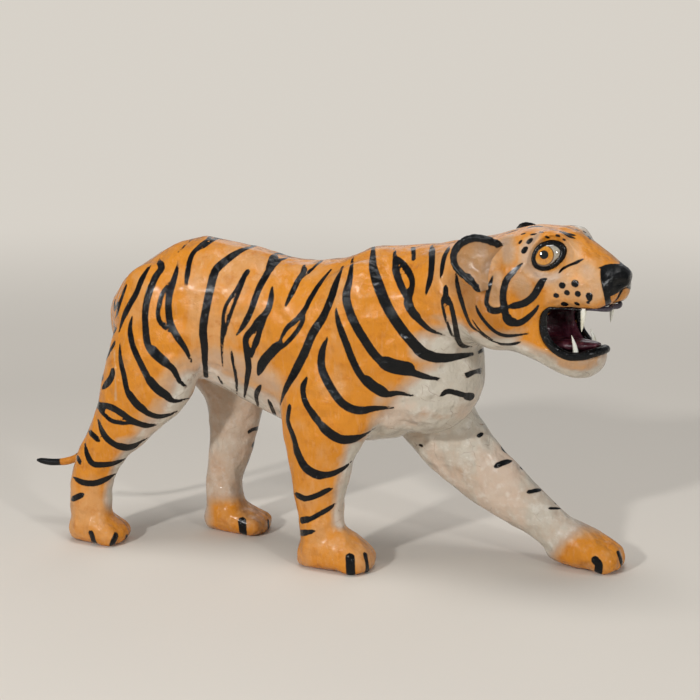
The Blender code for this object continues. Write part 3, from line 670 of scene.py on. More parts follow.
def to_left_leg(places, own_line, other_line):
    """Marks of a right leg on the outside of the left one: as far down its line and as far ahead of it."""
    steps = np.linspace(0.0, 1.0, len(own_line))
    share = np.interp(-places[:, 2], -own_line[:, 1], steps)
    ahead = places[:, 0] - np.interp(share, steps, own_line[:, 0])
    middle, before, after = (
        np.stack([np.interp(share + step, steps, other_line[:, k]) for k in (0, 1)], axis=1)
        for step in (0.0, -0.03, 0.03))
    run = after - before
    run /= np.linalg.norm(run, axis=1)[:, None]
    carried = []
    for x, z in zip(middle[:, 0] - run[:, 1] * ahead, middle[:, 1] + run[:, 0] * ahead):
        hit = leather.ray_cast(Vector((x, 0.2, z)), Vector((0.0, -1.0, 0.0)))[0]
        if hit is None:
            hit = leather.find_nearest(Vector((x, 0.06, z)))[0]
        carried.append(hit[:])
    return np.array(carried).reshape(-1, 3)


def to_left_fore_leg(places):
    """Marks of the right fore leg on the left one."""
    return to_left_leg(places, RIGHT_FORE_LINE, LEFT_FORE_LINE)


def to_left_hind_leg(places):
    """Marks of the right hind leg on the left one."""
    return to_left_leg(places, RIGHT_HIND_LINE, LEFT_HIND_LINE)


black_strokes = []
for group, view, carry in (
        (FLANK_STROKES, FLANK_VIEW, across_trunk), (HIP_STROKES, HIP_VIEW, across_trunk),
        (THIGH_STROKES, HIP_VIEW, to_left_hind_leg), (HIND_STROKES, HIND_VIEW, to_left_hind_leg),
        (FORE_STROKES, FORE_VIEW, to_left_fore_leg), (INNER_STROKES, INNER_VIEW, None),
        (HEAD_STROKES, HEAD_VIEW, across_head), (NEAR_HEAD_STROKES, HEAD_VIEW, None)):
    for width, *line in group:
        places, halves = laid_on(view, width, line)
        black_strokes.append((places, halves))
        if carry and len(places):
            black_strokes.append((carry(places), halves))
for view, width, *line in BLUNT_STROKES:
    black_strokes.append(laid_on(view, width, line, blunt))
for x, y, size in WHISKER_DOTS:
    places, halves = laid_on(HEAD_VIEW, 2.0 * size, [(x - 3, y), (x + 3, y + 2)], blunt)
    black_strokes.append((places, halves))
    black_strokes.append((across_head(places), halves))

# The photograph doesn't show the backs of the hind legs. The bars there carry the side's stripes on:
# each is a height and a half width in millimetres, and runs across the back of both legs.
REAR_BARS = ((178.0, 2.2), (160.0, 2.8), (141.0, 2.4), (123.0, 2.7), (105.0, 2.3), (87.0, 2.0))
BEHIND_LEG = 45.0
OUTER_END = (8.0, 13.0, 7.0)
INNER_END = (6.0, -12.0, 4.0)
for leg_line, leg_side, outwards in ((RIGHT_HIND_LINE, -23.5, -1.0), (LEFT_HIND_LINE, 36.5, 1.0)):
    for bar_height, half in REAR_BARS:
        behind = np.interp(-bar_height, -leg_line[:, 1] / MM, leg_line[:, 0] / MM) - BEHIND_LEG
        bar = flowing([(behind + back, leg_side + aside * outwards, bar_height + rise)
                       for back, aside, rise in (OUTER_END, (0.0, 0.0, 0.0), INNER_END)], 1.0)
        black_strokes.append((snapped(bar * MM), half * MM * tapered(len(bar))))


def paint_distance(points, strokes, reach=5.0 * MM):
    """How far each point lies outside the nearest stroke: distance to a sample less its half width."""
    result = np.full(len(points), reach)
    for places, halves in strokes:
        if len(places) == 0:
            continue
        places, halves = filled_in(places, halves)
        low = places.min(axis=0) - reach
        high = places.max(axis=0) + reach
        near = np.nonzero(np.all((points > low) & (points < high), axis=1))[0]
        if len(near) == 0:
            continue
        for part in np.array_split(near, len(near) // 3000 + 1):
            apart = np.linalg.norm(points[part][:, None, :] - places[None, :, :], axis=2)
            result[part] = np.minimum(result[part], (apart - halves).min(axis=1))
    return result


ear_edge = [laid_on(HEAD_VIEW, EAR_BAND_SEEN, EAR_EDGE_SEEN, blunt)]
ear_edge.append((across_head(ear_edge[0][0]), ear_edge[0][1]))

# The nose is black all over, the parting under it too, and the edge of the upper lip below the nose.
# Each is the place where its value is negative, in millimetres of the head's frame.
NOSE_TOP = 40.5
BRIDGE_BACK = 85.5
NOSE_BACK = 79.9
NOSE_FOOT = 21.5
BLACK_PARTING = 3.4
LIP_EDGE_UP = 12.6
points, facing = corners_of(body)
s, t, up = (in_head(points) / MM).T
aside = np.abs(t)
nose_back = np.where(up > NOSE_TOP, BRIDGE_BACK - 0.5 * aside, NOSE_BACK + 0.32 * (37.8 - up))
nose = np.maximum(nose_back - s, NOSE_FOOT + 0.3 * (18.0 - aside) - up)
nose_parting = np.maximum.reduce([aside - BLACK_PARTING, 74.0 - s, up - 29.0, 10.0 - up])
lip_edge_up = LIP_EDGE_UP + 3.6 * smooth_step(76.0, 84.0, s)
lip_edge = np.maximum.reduce([up - lip_edge_up, 75.0 - s, 10.0 - up])
strokes_edge = paint_distance(points, black_strokes + ear_edge) / MM
set_value(body, "ink", np.minimum.reduce([strokes_edge, nose, nose_parting, lip_edge]))
set_value(body, "grey", smooth_step(68.0, 76.0, s) * smooth_step(20.0, 16.0, up) * smooth_step(7.0, 9.0, up))

# The paint fades from orange to tan and to grey white on the belly, chest, throat, chin and the
# insides of the legs. Soft patches of it are listed as they are seen, each with its reach in
# millimetres and its strength.
LEFT_HIND_PALE = 0.72
LEFT_FORE_PALE = 0.86
RIGHT_LEGS_PALE = 0.75
PAW_LENGTH = 53.0
PAW_ORANGE = 0.92
PALE_CORE = 0.1
PAINTED_SHADE_CORE = 0.2
BROW_REACH = 8.0
BROW_CORE = 0.25
PALE_STROKES = [
    (FLANK_VIEW, 24, 1.0, (1000, 1290), (1150, 1140), (1300, 1020), (1450, 940)),
    (FLANK_VIEW, 18, 0.85, (1190, 800), (1300, 785), (1420, 720)),
    (FLANK_VIEW, 30, 1.0, (1300, 1200), (1450, 1110)), (FLANK_VIEW, 22, 0.8, (900, 1330), (1010, 1280)),
    (HIP_VIEW, 20, 0.92, (680, 1180), (800, 1130), (950, 1180), (1100, 1230), (1250, 1290), (1330, 1340)),
    (HIP_VIEW, 24, 0.50, (740, 1030), (880, 1000), (1000, 1020), (1150, 1080), (1290, 1180)),
    (HIP_VIEW, 20, 0.9, (600, 1340), (660, 1250), (700, 1150)),
    (HIP_VIEW, 20, 0.45, (560, 1200), (640, 1080)),
    (HEAD_VIEW, 18, 1.0, (0, 1010), (100, 1060), (250, 1060), (350, 1010)),
    (HEAD_VIEW, 11, 0.95, (760, 1125), (880, 1195), (1000, 1240), (1100, 1235), (1190, 1180), (1238, 1120)),
    (HEAD_VIEW, 10, 0.8, (600, 1030), (700, 1075), (840, 1140)),
    (HEAD_VIEW, 9, 0.5, (840, 1115), (980, 1155), (1140, 1115)),
    (HEAD_VIEW, 11, 0.58, (700, 215), (650, 270), (640, 350), (665, 420), (730, 480), (810, 505), (880, 485)),
    (HEAD_VIEW, 12, 0.46, (965, 280), (985, 340), (990, 400), (960, 460)),
    (FORE_VIEW, 13, 1.0, (625, 440), (580, 580), (550, 700), (532, 820), (528, 920)),
    (HIND_VIEW, 11, 0.9, (680, 280), (590, 380), (500, 480), (445, 590), (422, 690), (424, 770)),
    (HIP_VIEW, 2.5, 0.4, (172, 930), (180, 1100), (183, 1280)),
    (HEAD_VIEW, 17, 0.46, (900, 540), (980, 600), (1090, 620), (1170, 600)),
    (HEAD_VIEW, 14, 0.50, (1080, 440), (1130, 500), (1160, 560)),
    (HEAD_VIEW, 12, 0.55, (480, 225), (500, 290), (505, 350)), (HEAD_VIEW, 15, 0.42, (590, 540), (640, 610)),
    (HEAD_VIEW, 12, 0.42, (420, 500), (410, 600), (420, 690)),
    (HEAD_VIEW, 20, 0.44, (120, 300), (250, 330), (400, 350)), (HEAD_VIEW, 8, 0.5, (1250, 745), (1330, 720)),
]
FAR_BROW = [(1040, 118), (1090, 150), (1122, 205)]
# Painted shade: the paint is darkened round the ear and the back of the cheek, where the light falls off.
PAINTED_SHADE_STROKES = [
    (16, 0.75, (140, 520), (190, 600), (250, 700), (330, 800), (420, 880)),
    (13, 0.70, (330, 480), (340, 560), (420, 620)), (14, 0.55, (560, 480), (600, 580), (680, 600)),
    (12, 0.45, (480, 250), (500, 330), (490, 420)), (10, 0.4, (820, 1110), (960, 1150), (1120, 1120)),
]


def soft_patch(view, reach, strength, core, line, carry=None):
    """A soft patch round a line: its strength within core of its reach, fading out smoothly to nothing."""
    places, _ = laid_on(view, 10.0, line)
    middle_lines = [places, carry(places)] if carry else [places]
    apart = paint_distance(points, [(middle, np.zeros(len(middle))) for middle in middle_lines], reach * MM)
    return strength * smooth_step(reach, core * reach, apart / MM)


# Whatever looks down on the trunk is pale, but not the head; so are the front of the chest, the inner
# sides of the left legs and, less so, those of the right legs. The paws stay orange.
ahead, left, height = (points / MM).T
turned_ahead, turned_left, turned_up = facing.T
pale = smooth_step(0.05, 0.7, -turned_up) * smooth_step(66.0, 84.0, height)
pale *= 1.0 - smooth_step(-20.0, 0.0, s) * smooth_step(-2.0, 8.0, up)
pale = np.maximum(pale, smooth_step(0.15, 0.75, turned_ahead) * smooth_step(70.0, 100.0, ahead)
                  * smooth_step(185.0, 150.0, height) * smooth_step(80.0, 100.0, height))
left_legs = smooth_step(6.0, 14.0, left) * smooth_step(135.0, 112.0, height)
leg_pale = np.where(ahead < 0.0, LEFT_HIND_PALE, LEFT_FORE_PALE)
pale = np.maximum(pale, leg_pale * left_legs * smooth_step(0.55, 0.05, turned_left))
right_legs = smooth_step(2.0, -4.0, left) * smooth_step(120.0, 90.0, height)
pale = np.maximum(pale, right_legs * RIGHT_LEGS_PALE * smooth_step(0.2, 0.75, turned_left))
for view, reach, strength, *line in PALE_STROKES:
    carry = across_head if view is HEAD_VIEW else across_trunk
    pale = np.maximum(pale, soft_patch(view, reach, strength, PALE_CORE, line, carry))
pale = np.maximum(pale, soft_patch(HEAD_VIEW, BROW_REACH, 1.0, BROW_CORE, FAR_BROW))
for front, side, size, lean in PAWS:
    from_back = ahead - front + PAW_LENGTH * size - lean * (height - 8.0)
    paw = smooth_step(36.0 * size, 20.0 * size, height) * smooth_step(-6.0, 12.0, from_back)
    paw *= (np.abs(left - side) < 26.0) * (ahead < front + 4.0)
    pale *= 1.0 - PAW_ORANGE * paw
set_value(body, "pale", pale)
# Painted shade: soft darkening round the ear and the back of the cheek.
set_value(body, "dull", np.maximum.reduce([
    soft_patch(HEAD_VIEW, reach, strength, PAINTED_SHADE_CORE, line, across_head)
    for reach, strength, *line in PAINTED_SHADE_STROKES]))

# The inside of the mouth is maroon: everything within the line of the lips, from the corners forward.
# The lips' middle line is given in the head's frame, in millimetres, with the roll's radius there.
MOUTH_BACK = 14.0
MOUTH_FLOOR = -17.5
MOUTH_ROOF = 14.0
MOUTH_MIDDLE = -3.0
MOUTH_DEEPEST = -25.0
CHEEK_STARTS = 43.5
CHEEK_SIDE = 22.0
LIP_ROUTE = np.array([
    (76.2, 0.0, -16.8, 2.5), (74.6, -5.6, -17.2, 2.7), (71.6, -10.0, -18.2, 2.9), (66.0, -15.0, -19.9, 3.0),
    (58.6, -19.4, -19.8, 3.0), (51.6, -22.6, -16.0, 2.9), (46.2, -24.0, -11.0, 2.9), (43.4, -24.8, -5.2, 2.8),
    (42.6, -25.2, 1.0, 2.7), (43.6, -25.7, 7.4, 2.3), (47.2, -26.0, 11.8, 1.3), (54.0, -25.3, 12.7, 0.6),
    (62.0, -24.3, 12.9, 0.5), (70.0, -22.3, 13.1, 0.5), (76.0, -18.6, 13.2, 0.8), (80.4, -13.0, 13.0, 1.5),
    (82.2, -6.5, 12.6, 1.8), (80.6, 0.0, 12.8, 1.8),
])
LOWER_LIP = LIP_ROUTE[:9][::-1]
UPPER_LIP = LIP_ROUTE[8:17]
s, t, up = (in_head(points) / MM).T
low_side = np.interp(s, LOWER_LIP[:, 0], -LOWER_LIP[:, 1], right=0.0)
high_side = np.interp(s, UPPER_LIP[:, 0], -UPPER_LIP[:, 1], right=0.0)
low_edge = np.interp(s, LOWER_LIP[:, 0], LOWER_LIP[:, 2])
high_edge = np.interp(s, UPPER_LIP[:, 0], UPPER_LIP[:, 2])
low_edge = np.where(s < LOWER_LIP[0, 0], MOUTH_FLOOR, low_edge)
high_edge = np.where(s < UPPER_LIP[0, 0], MOUTH_ROOF, high_edge)
rise = np.clip((up - low_edge) / np.maximum(high_edge - low_edge, 1.0), 0.0, 1.0)
side_edge = np.where(s < CHEEK_STARTS, CHEEK_SIDE, low_side + (high_side - low_side) * rise)
# Leather that turns out belongs to the cheek, and leather that looks at the mouth's middle is flesh.
turned_out = (facing @ HEAD_LEFT) * np.sign(t)
side_edge += np.interp(turned_out, (0.1, 0.4), (3.5, -0.4))
over = up - MOUTH_MIDDLE
looks_in = -(facing @ HEAD_LEFT * t + facing[:, 2] * over) / np.hypot(t, over)
looks_in = smooth_step(0.0, 0.3, looks_in) * smooth_step(70.0, 66.0, s)
low_edge += (MOUTH_DEEPEST - low_edge) * looks_in
set_value(body, "mouth", np.minimum.reduce([
    side_edge - np.abs(t), s - MOUTH_BACK, high_edge + 0.6 - up, up - low_edge + 0.6]))


class Value:
    """A number or colour on its way through a material, with plain sums between such values."""

    def __init__(self, finish, socket):
        self.finish = finish
        self.socket = socket

    def sum(self, operation, first, second=0.0):
        return self.finish.node("ShaderNodeMath", {"operation": operation}, {0: first, 1: second})

    def __add__(self, other):
        return self.sum("ADD", self, other)

    __radd__ = __add__

    def __sub__(self, other):
        return self.sum("SUBTRACT", self, other)

    def __rsub__(self, other):
        return self.sum("SUBTRACT", other, self)

    def __mul__(self, other):
        return self.sum("MULTIPLY", self, other)

    __rmul__ = __mul__

    def most(self, other):
        return self.sum("MAXIMUM", self, other)

    def between(self, low, high):
        """0 where this is low, 1 where it is high, smooth between them."""
        return self.finish.node("ShaderNodeMapRange", {"interpolation_type": "SMOOTHSTEP"}, {
            "Value": self, "From Min": low, "From Max": high})


class Finish:
    """A material as it is built up."""

    def __init__(self, name):
        self.material = bpy.data.materials.new(name)
        self.material.use_nodes = True
        self.tree = self.material.node_tree
        self.shader = self.tree.nodes["Principled BSDF"]

    def node(self, kind, settings=None, inputs=None, output=0):
        """Any node: its settings come first, then the values or links of its inputs."""
        made = self.tree.nodes.new(kind)
        for key, value in (settings or {}).items():
            if key == "stops":
                while len(made.color_ramp.elements) < len(value):
                    made.color_ramp.elements.new(0.5)
                for stop, (place, colour) in zip(made.color_ramp.elements, value):
                    stop.position = place
                    stop.color = colour
            else:
                setattr(made, key, value)
        for key, value in (inputs or {}).items():
            self.put(made.inputs[key], value)
        return Value(self, made.outputs[output])

    def put(self, socket, value):
        """Links a value to a socket, or sets a plain one."""
        if isinstance(value, Value):
            self.tree.links.new(value.socket, socket)
        else:
            socket.default_value = value

    def place(self):
        """The place on the piece, in metres."""
        return self.node("ShaderNodeTexCoord", output="Object")

    def kept(self, name):
        """A number kept for each corner."""
        return self.node("ShaderNodeAttribute", {"attribute_name": name}, output="Fac")

    def cloud(self, scale, detail=3.0, roughness=0.5, stretch=(1.0, 1.0, 1.0)):
        """Noise of that many lumps in a metre, stretched along the axes."""
        where = self.node("ShaderNodeMapping", {}, {"Vector": self.place(), "Scale": stretch})
        return self.node("ShaderNodeTexNoise", {}, {
            "Vector": where, "Scale": scale, "Detail": detail, "Roughness": roughness})

    def blend(self, share, first, second):
        """One colour turning into another."""
        return self.node("ShaderNodeMix", {"data_type": "RGBA"}, {0: share, 6: first, 7: second}, output=2)

    def relief(self, height, distance, normal=None):
        """Small relief under the gloss."""
        inputs = {"Height": height, "Distance": distance, "Strength": 1.0}
        if normal is not None:
            inputs["Normal"] = normal
        return self.node("ShaderNodeBump", {}, inputs)

    def finish(self, **inputs):
        """Sets the shader's own inputs, by name with _ for a space, and gives the material."""
        for key, value in inputs.items():
            self.put(self.shader.inputs[key.replace("_", " ")], value)
        return self.material


ORANGE = (0.640, 0.235, 0.020, 1.0)
DEEP_ORANGE = (0.480, 0.145, 0.012, 1.0)
THIN_ORANGE = (0.620, 0.320, 0.125, 1.0)
TAN = (0.580, 0.325, 0.150, 1.0)
PINK_TAN = (0.520, 0.350, 0.235, 1.0)
GREY_WHITE = (0.560, 0.510, 0.425, 1.0)
PEACH = (0.660, 0.480, 0.360, 1.0)
# The warm grey of the painted shade.
PAINTED_SHADE_TINT = (0.560, 0.520, 0.450, 1.0)
BLACK = (0.0022, 0.0025, 0.0028, 1.0)
MAROON = (0.045, 0.005, 0.012, 1.0)
LIP_GREY = (0.105, 0.085, 0.110, 1.0)
BRUSHED_TAN = (0.70, 0.42, 0.20, 1.0)
# The white of the flecks, partly painted highlights.
FLECKS_AND_PAINTED_HIGHLIGHTS = (0.76, 0.72, 0.65, 1.0)
CRACK_BROWN = (0.20, 0.085, 0.045, 1.0)
THIN_BLACK = (0.14, 0.05, 0.012, 1.0)
GREY_SHEEN = (0.014, 0.016, 0.018, 1.0)
FLESH = (0.120, 0.030, 0.050, 1.0)
# The near black of the painted shade under the mouth's roof.
MOUTH_PAINTED_SHADE = (0.006, 0.002, 0.004, 1.0)


def painted_leather(name):
    """Orange to white paint under black strokes, on grained leather, with a clear lacquer over all."""
    look = Finish(name)
    patches = look.cloud(55.0, 4.0, 0.6)
    streaks = look.cloud(420.0, 3.0, 0.6, (1.0, 1.0, 0.22))
    broad = look.cloud(26.0, 4.0, 0.6, (1.0, 1.0, 0.6))
    worn = look.cloud(130.0, 5.0, 0.65)
    pale_share = look.kept("pale") + (patches - 0.5) * 0.55 + (streaks - 0.5) * 0.12
    fading = [(0.0, ORANGE), (0.15, ORANGE), (0.40, TAN), (0.62, PINK_TAN), (0.90, GREY_WHITE)]
    base = look.node("ShaderNodeValToRGB", {"stops": fading}, {"Fac": pale_share})
    orange_share = 1.0 - look.kept("pale").between(0.1, 0.6)
    base = look.blend(broad.between(0.48, 0.66) * orange_share * 0.75, base, THIN_ORANGE)
    base = look.blend(worn.between(0.50, 0.72) * orange_share * 0.55, base, DEEP_ORANGE)
    base = look.blend(streaks.between(0.52, 0.70) * orange_share * 0.18, base, BRUSHED_TAN)
    wander = look.node("ShaderNodeTexNoise", {}, {"Vector": look.place(), "Scale": 70.0}, output="Color")
    bent = look.node("ShaderNodeMix", {"data_type": "VECTOR"}, {
        0: 0.012, 4: look.place(), 5: wander}, output=1)
    cracks = look.node("ShaderNodeTexVoronoi", {"feature": "DISTANCE_TO_EDGE"}, {
        "Vector": bent, "Scale": 48.0})
    crack_share = cracks.between(0.010, 0.003) * look.kept("pale").between(0.6, 0.85)
    crack_share = crack_share * patches.between(0.52, 0.62)
    pale_kept = look.kept("pale").between(0.55, 0.85)
    base = look.blend(broad.between(0.46, 0.62) * pale_kept * 0.55, base, PEACH)
    # White flecks on the pale paint: partly real flecks, partly painted highlights.
    base = look.blend(worn.between(0.50, 0.68) * pale_kept * 0.40, base, FLECKS_AND_PAINTED_HIGHLIGHTS)
    base = look.blend(crack_share * 0.55, base, CRACK_BROWN)
    # Painted shade: a warm grey darkens the paint on the ear and round it.
    base = look.node("ShaderNodeMix", {"data_type": "RGBA", "blend_type": "MULTIPLY"}, {
        0: look.kept("dull"), 6: base, 7: PAINTED_SHADE_TINT}, output=2)
    ragged = (look.cloud(700.0, 2.0) - 0.5) * 0.5 + (look.cloud(160.0, 2.0) - 0.5) * 0.5
    from_edge = look.kept("ink") + ragged
    ink_share = from_edge.between(0.20, -0.20)
    base = look.blend(from_edge.between(0.8, -0.1) * 0.25, base, THIN_BLACK)
    sheen = look.cloud(60.0, 2.0).between(0.50, 0.75)
    black = look.blend(sheen * 0.4, BLACK, GREY_SHEEN)
    black = look.blend(look.kept("grey") * (0.35 + sheen * 0.5), black, LIP_GREY)
    base = look.blend(ink_share, base, black)
    mouth_share = look.kept("mouth").between(-0.2, 0.5)
    # Painted shade: the top of the mouth's inside darkens to near black.
    shaded_roof = look.node("ShaderNodeSeparateXYZ", {}, {0: look.place()}, output="Z").between(0.182, 0.199)
    flesh = look.blend(look.cloud(120.0, 4.0).between(0.4, 0.7), MAROON, FLESH)
    flesh = look.blend(shaded_roof * 0.9, flesh, MOUTH_PAINTED_SHADE)
    base = look.blend(mouth_share, base, flesh)
    grain = look.cloud(1500.0, 3.0, 0.6) * 0.35 + look.cloud(380.0, 3.0) * 0.65
    folds = look.cloud(62.0, 3.0, 0.5, (1.0, 1.0, 0.45))
    facets = look.node("ShaderNodeTexVoronoi", {"feature": "SMOOTH_F1"}, {
        "Vector": bent, "Scale": 85.0, "Smoothness": 0.7})
    fine = look.relief(grain, 0.30 * MM)
    normal = look.relief(folds * 1.5 + worn * 0.5 + facets * 1.2, 2.2 * MM, fine)
    gloss = (0.13 + (patches - 0.5) * 0.32 - ink_share * 0.03).most(0.03)
    return look.finish(
        Base_Color=base, Roughness=gloss, Normal=normal, Coat_Weight=0.25, Coat_Roughness=0.18,
        Coat_IOR=1.3, Specular_IOR_Level=0.20)


leather_paint = painted_leather("painted_leather")
for piece in (body, *ears.values()):
    piece.data.materials.clear()
    piece.data.materials.append(leather_paint)


# The lips
# A roll of black lacquered leather round the open mouth, thick along the lower jaw and thin above.
LIP_INSET = 0.965
LIP_SIDES = 18
LIP_SHEEN = (0.010, 0.009, 0.010, 1.0)


def tube(route, radii, sides, closed):
    """A tube along a route: circles across the route's direction, each of its own radius.

    The across direction is carried from sample to sample, so the tube doesn't twist. Where the route
    is a loop, its direction is taken round its end.
    """
    route = np.asarray(route, float)
    count = len(route)
    if closed:
        run = np.roll(route, -1, axis=0) - np.roll(route, 1, axis=0)
    else:
        run = np.gradient(route, axis=0)
    run /= np.linalg.norm(run, axis=1)[:, None]
    across = np.cross(run, np.array((0.0, 0.0, 1.0)))
    weak = np.linalg.norm(across, axis=1) < 0.2
    across[weak] = np.cross(run[weak], np.array((0.0, 1.0, 0.0)))
    for step in range(1, count):
        across[step] = across[step - 1] - run[step] * (across[step - 1] @ run[step])
    across /= np.linalg.norm(across, axis=1)[:, None]
    rise = np.cross(across, run)
    angle = np.linspace(0.0, 2.0 * math.pi, sides, endpoint=False)
    circle = (np.cos(angle)[None, :, None] * across[:, None, :]
              + np.sin(angle)[None, :, None] * rise[:, None, :])
    return route[:, None, :] + np.asarray(radii)[:, None, None] * circle


def skinned(name, grid, wrap_rows, finish_with):
    """A mesh of a grid of points that closes round its columns, and round its rows or at two poles."""
    rows, columns = grid.shape[:2]
    points = grid.reshape(-1, 3)
    index = np.arange(rows * columns).reshape(rows, columns)
    after = np.roll(index, -1, axis=1)
    if wrap_rows:
        below = np.roll(index, -1, axis=0)
        below_after = np.roll(after, -1, axis=0)
        quads = np.stack([index, after, below_after, below], axis=-1).reshape(-1, 4).tolist()
    else:
        quads = np.stack([index[:-1], after[:-1], after[1:], index[1:]], axis=-1).reshape(-1, 4).tolist()
        points = np.vstack([points, grid[0].mean(axis=0), grid[-1].mean(axis=0)])
        first = rows * columns
        quads += [(first, b, a) for a, b in zip(index[0], after[0])]
        quads += [(first + 1, a, b) for a, b in zip(index[-1], after[-1])]
    mesh = bpy.data.meshes.new(name)
    mesh.from_pydata(points.tolist(), [], [tuple(int(i) for i in quad) for quad in quads])
    work = bmesh.new()
    work.from_mesh(mesh)
    bmesh.ops.recalc_face_normals(work, faces=work.faces)
    work.to_mesh(mesh)
    work.free()
    mesh.shade_smooth()
    mesh.materials.append(finish_with)
    piece = bpy.data.objects.new(name, mesh)
    bpy.context.scene.collection.objects.link(piece)
    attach(piece, "root")
    return piece


def closed_line(samples, step):
    """A smooth closed line through samples, each a place and a size, one sample each step."""
    looped = np.vstack([samples[-3:], samples, samples[:3]])
    line = flowing(looped, step)
    along = np.linspace(0.0, len(looped) - 1.0, len(line))
    return line[(along >= 3.0) & (along < len(samples) + 3.0)]


far_lip = LIP_ROUTE[1:-1][::-1] * np.array((1.0, -1.0, 1.0, 1.0))
lip_line = closed_line(np.vstack([LIP_ROUTE, far_lip]), 0.9)
lip_line[:, 1] *= LIP_INSET
lip_finish = Finish("black_lip")
lip_cloud = lip_finish.cloud(260.0, 3.0)
lip_black = lip_finish.blend(lip_cloud.between(0.45, 0.75), BLACK, LIP_SHEEN)
lip_paint = lip_finish.finish(
    Base_Color=lip_finish.blend(lip_finish.kept("grey") * (0.3 + lip_cloud * 0.6), lip_black, LIP_GREY),
    Roughness=0.12 + 0.25 * lip_cloud, Normal=lip_finish.relief(lip_cloud, 1.2 * MM), Specular_IOR_Level=0.25)
lip_sizes = lip_line[:, 3] * (1.0 + 0.05 * lumps(lip_line[:, :3], 4.0, 21))
lip_grid = tube(from_head(lip_line[:, :3] * MM), lip_sizes * MM, LIP_SIDES, True)
lip = skinned("lip_roll", lip_grid, True, lip_paint)
lip_front = smooth_step(66.0, 76.0, lip_line[:, 0]) * (lip_line[:, 2] > 0.0)
set_value(lip, "grey", np.repeat(lip_front, LIP_SIDES))


# The tongue
# A moulded tongue, painted maroon and lacquered, with a groove down its middle.
TONGUE_BACK = 29.0
TONGUE_LENGTH = 43.0
TONGUE_HALF_WIDTH = 10.3
TONGUE_UP = -17.5
TONGUE_TIP_RISE = 3.5
TONGUE_BACK_RISE = 2.0
TONGUE_TOP = 4.6
TONGUE_BOTTOM = 3.6
TONGUE_GROOVE = 1.3
TONGUE_PINK = (0.150, 0.045, 0.062, 1.0)
tongue_finish = Finish("maroon_tongue")
tongue_cloud = tongue_finish.cloud(170.0, 4.0, 0.6)
tongue_paint = tongue_finish.finish(
    Base_Color=tongue_finish.blend(tongue_cloud.between(0.4, 0.7), MAROON, TONGUE_PINK),
    Roughness=0.20 + 0.3 * tongue_cloud, Normal=tongue_finish.relief(tongue_cloud, 0.8 * MM), Coat_Weight=0.5)
along = np.linspace(0.02, 1.0, 40)
angle = np.linspace(0.0, 2.0 * math.pi, 36, endpoint=False)
taper = np.sin(math.pi * np.minimum(0.12 + 0.86 * along, 1.0)) ** 0.45
across = np.cos(angle)
above = np.maximum(np.sin(angle), 0.0)
below = np.minimum(np.sin(angle), 0.0)
groove = TONGUE_GROOVE * np.exp(-(across / 0.16) ** 2) * (np.sin(angle) > 0)
tongue_rise = TONGUE_UP + TONGUE_TIP_RISE * along ** 2 + TONGUE_BACK_RISE * (1.0 - along) ** 2
tongue_section = TONGUE_TOP * above ** 0.8 + TONGUE_BOTTOM * below - groove
# Each row is a section across the tongue: it narrows as its taper and lies at its rise.
tongue_grid = np.stack([
    (TONGUE_BACK + TONGUE_LENGTH * along)[:, None] + 0.0 * across[None, :],
    TONGUE_HALF_WIDTH * taper[:, None] * across[None, :],
    tongue_rise[:, None] + taper[:, None] * tongue_section[None, :],
], axis=-1)
tongue = skinned("tongue_moulded", from_head(tongue_grid * MM), False, tongue_paint)
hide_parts("tongue")


# The teeth
# Four carved canines with round roots, ivory white and a little yellow at the gum.
TOOTH_ROOT = 1.2
TOOTH_IVORY = (0.80, 0.79, 0.70, 1.0)
TOOTH_YELLOW = (0.62, 0.58, 0.44, 1.0)
UPPER_CANINE = (70.6, 20.5, 12.5)
LOWER_CANINE = (61.8, 13.5, -18.0)
tooth_finish = Finish("ivory_tooth")
tooth_cloud = tooth_finish.cloud(300.0, 3.0, 0.5, (1.0, 1.0, 0.25))
tooth_paint = tooth_finish.finish(
    Base_Color=tooth_finish.blend(tooth_cloud.between(0.35, 0.7), TOOTH_IVORY, TOOTH_YELLOW),
    Roughness=0.22 + 0.15 * tooth_cloud, Coat_Weight=0.4)


def canine(name, root, side, tip_back, length, radius, up):
    """A bent cone: circles that shrink as (1 - u^1.6)^0.75 towards the tip, and lean back as u^1.7."""
    u = np.linspace(0.0, 1.0, 30)[:, None]
    turn = np.linspace(0.0, 2.0 * math.pi, 24, endpoint=False)[None, :]
    size = np.maximum(radius * (1.0 - 0.985 * u ** 1.6) ** 0.75 * np.minimum(1.0, 0.8 + 2.0 * u), 0.12)
    grid = np.stack([
        root[0] - tip_back * u ** 1.7 + size * np.cos(turn),
        root[1] * side + 0.85 * size * np.sin(turn),
        root[2] + up * (u * (length + TOOTH_ROOT) - TOOTH_ROOT) + 0.0 * turn,
    ], axis=-1)
    tooth = skinned(name + "_carved", from_head(grid * MM), False, tooth_paint)
    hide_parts(name)


for side, word in ((-1, "right"), (1, "left")):
    canine("upper_" + word + "_canine", UPPER_CANINE, side, 1.2, 14.5, 2.1, -1)
    canine("lower_" + word + "_canine", LOWER_CANINE, side, 3.6, 11.5, 2.0, 1)


# The eyes
# Glass eyes from behind: an amber iris with fine rays round a black pupil, a grey white corner and
# a clear dome. Each is set in the leather behind a thick black painted rim.
EYE_DEEP = 4.6
IRIS_RADIUS = 6.8
PUPIL_RADIUS = 2.8
IRIS_SEEN = (772, 338)
PUPIL_SEEN = (776, 334)
RIM_RADIUS = 1.85
RIM_LIFT = 0.9
RIM_SIDES = 14
IRIS_COLOURS = [
    (0.0, (0.16, 0.05, 0.005, 1.0)), (0.40, (0.50, 0.17, 0.008, 1.0)), (0.8, (0.72, 0.35, 0.030, 1.0))]
IRIS_EDGE = (0.10, 0.04, 0.01, 1.0)
EYE_WHITE = (0.42, 0.38, 0.30, 1.0)
EYE_STAIN = (0.30, 0.27, 0.22, 1.0)
RIM_SHEEN = (0.010, 0.010, 0.011, 1.0)

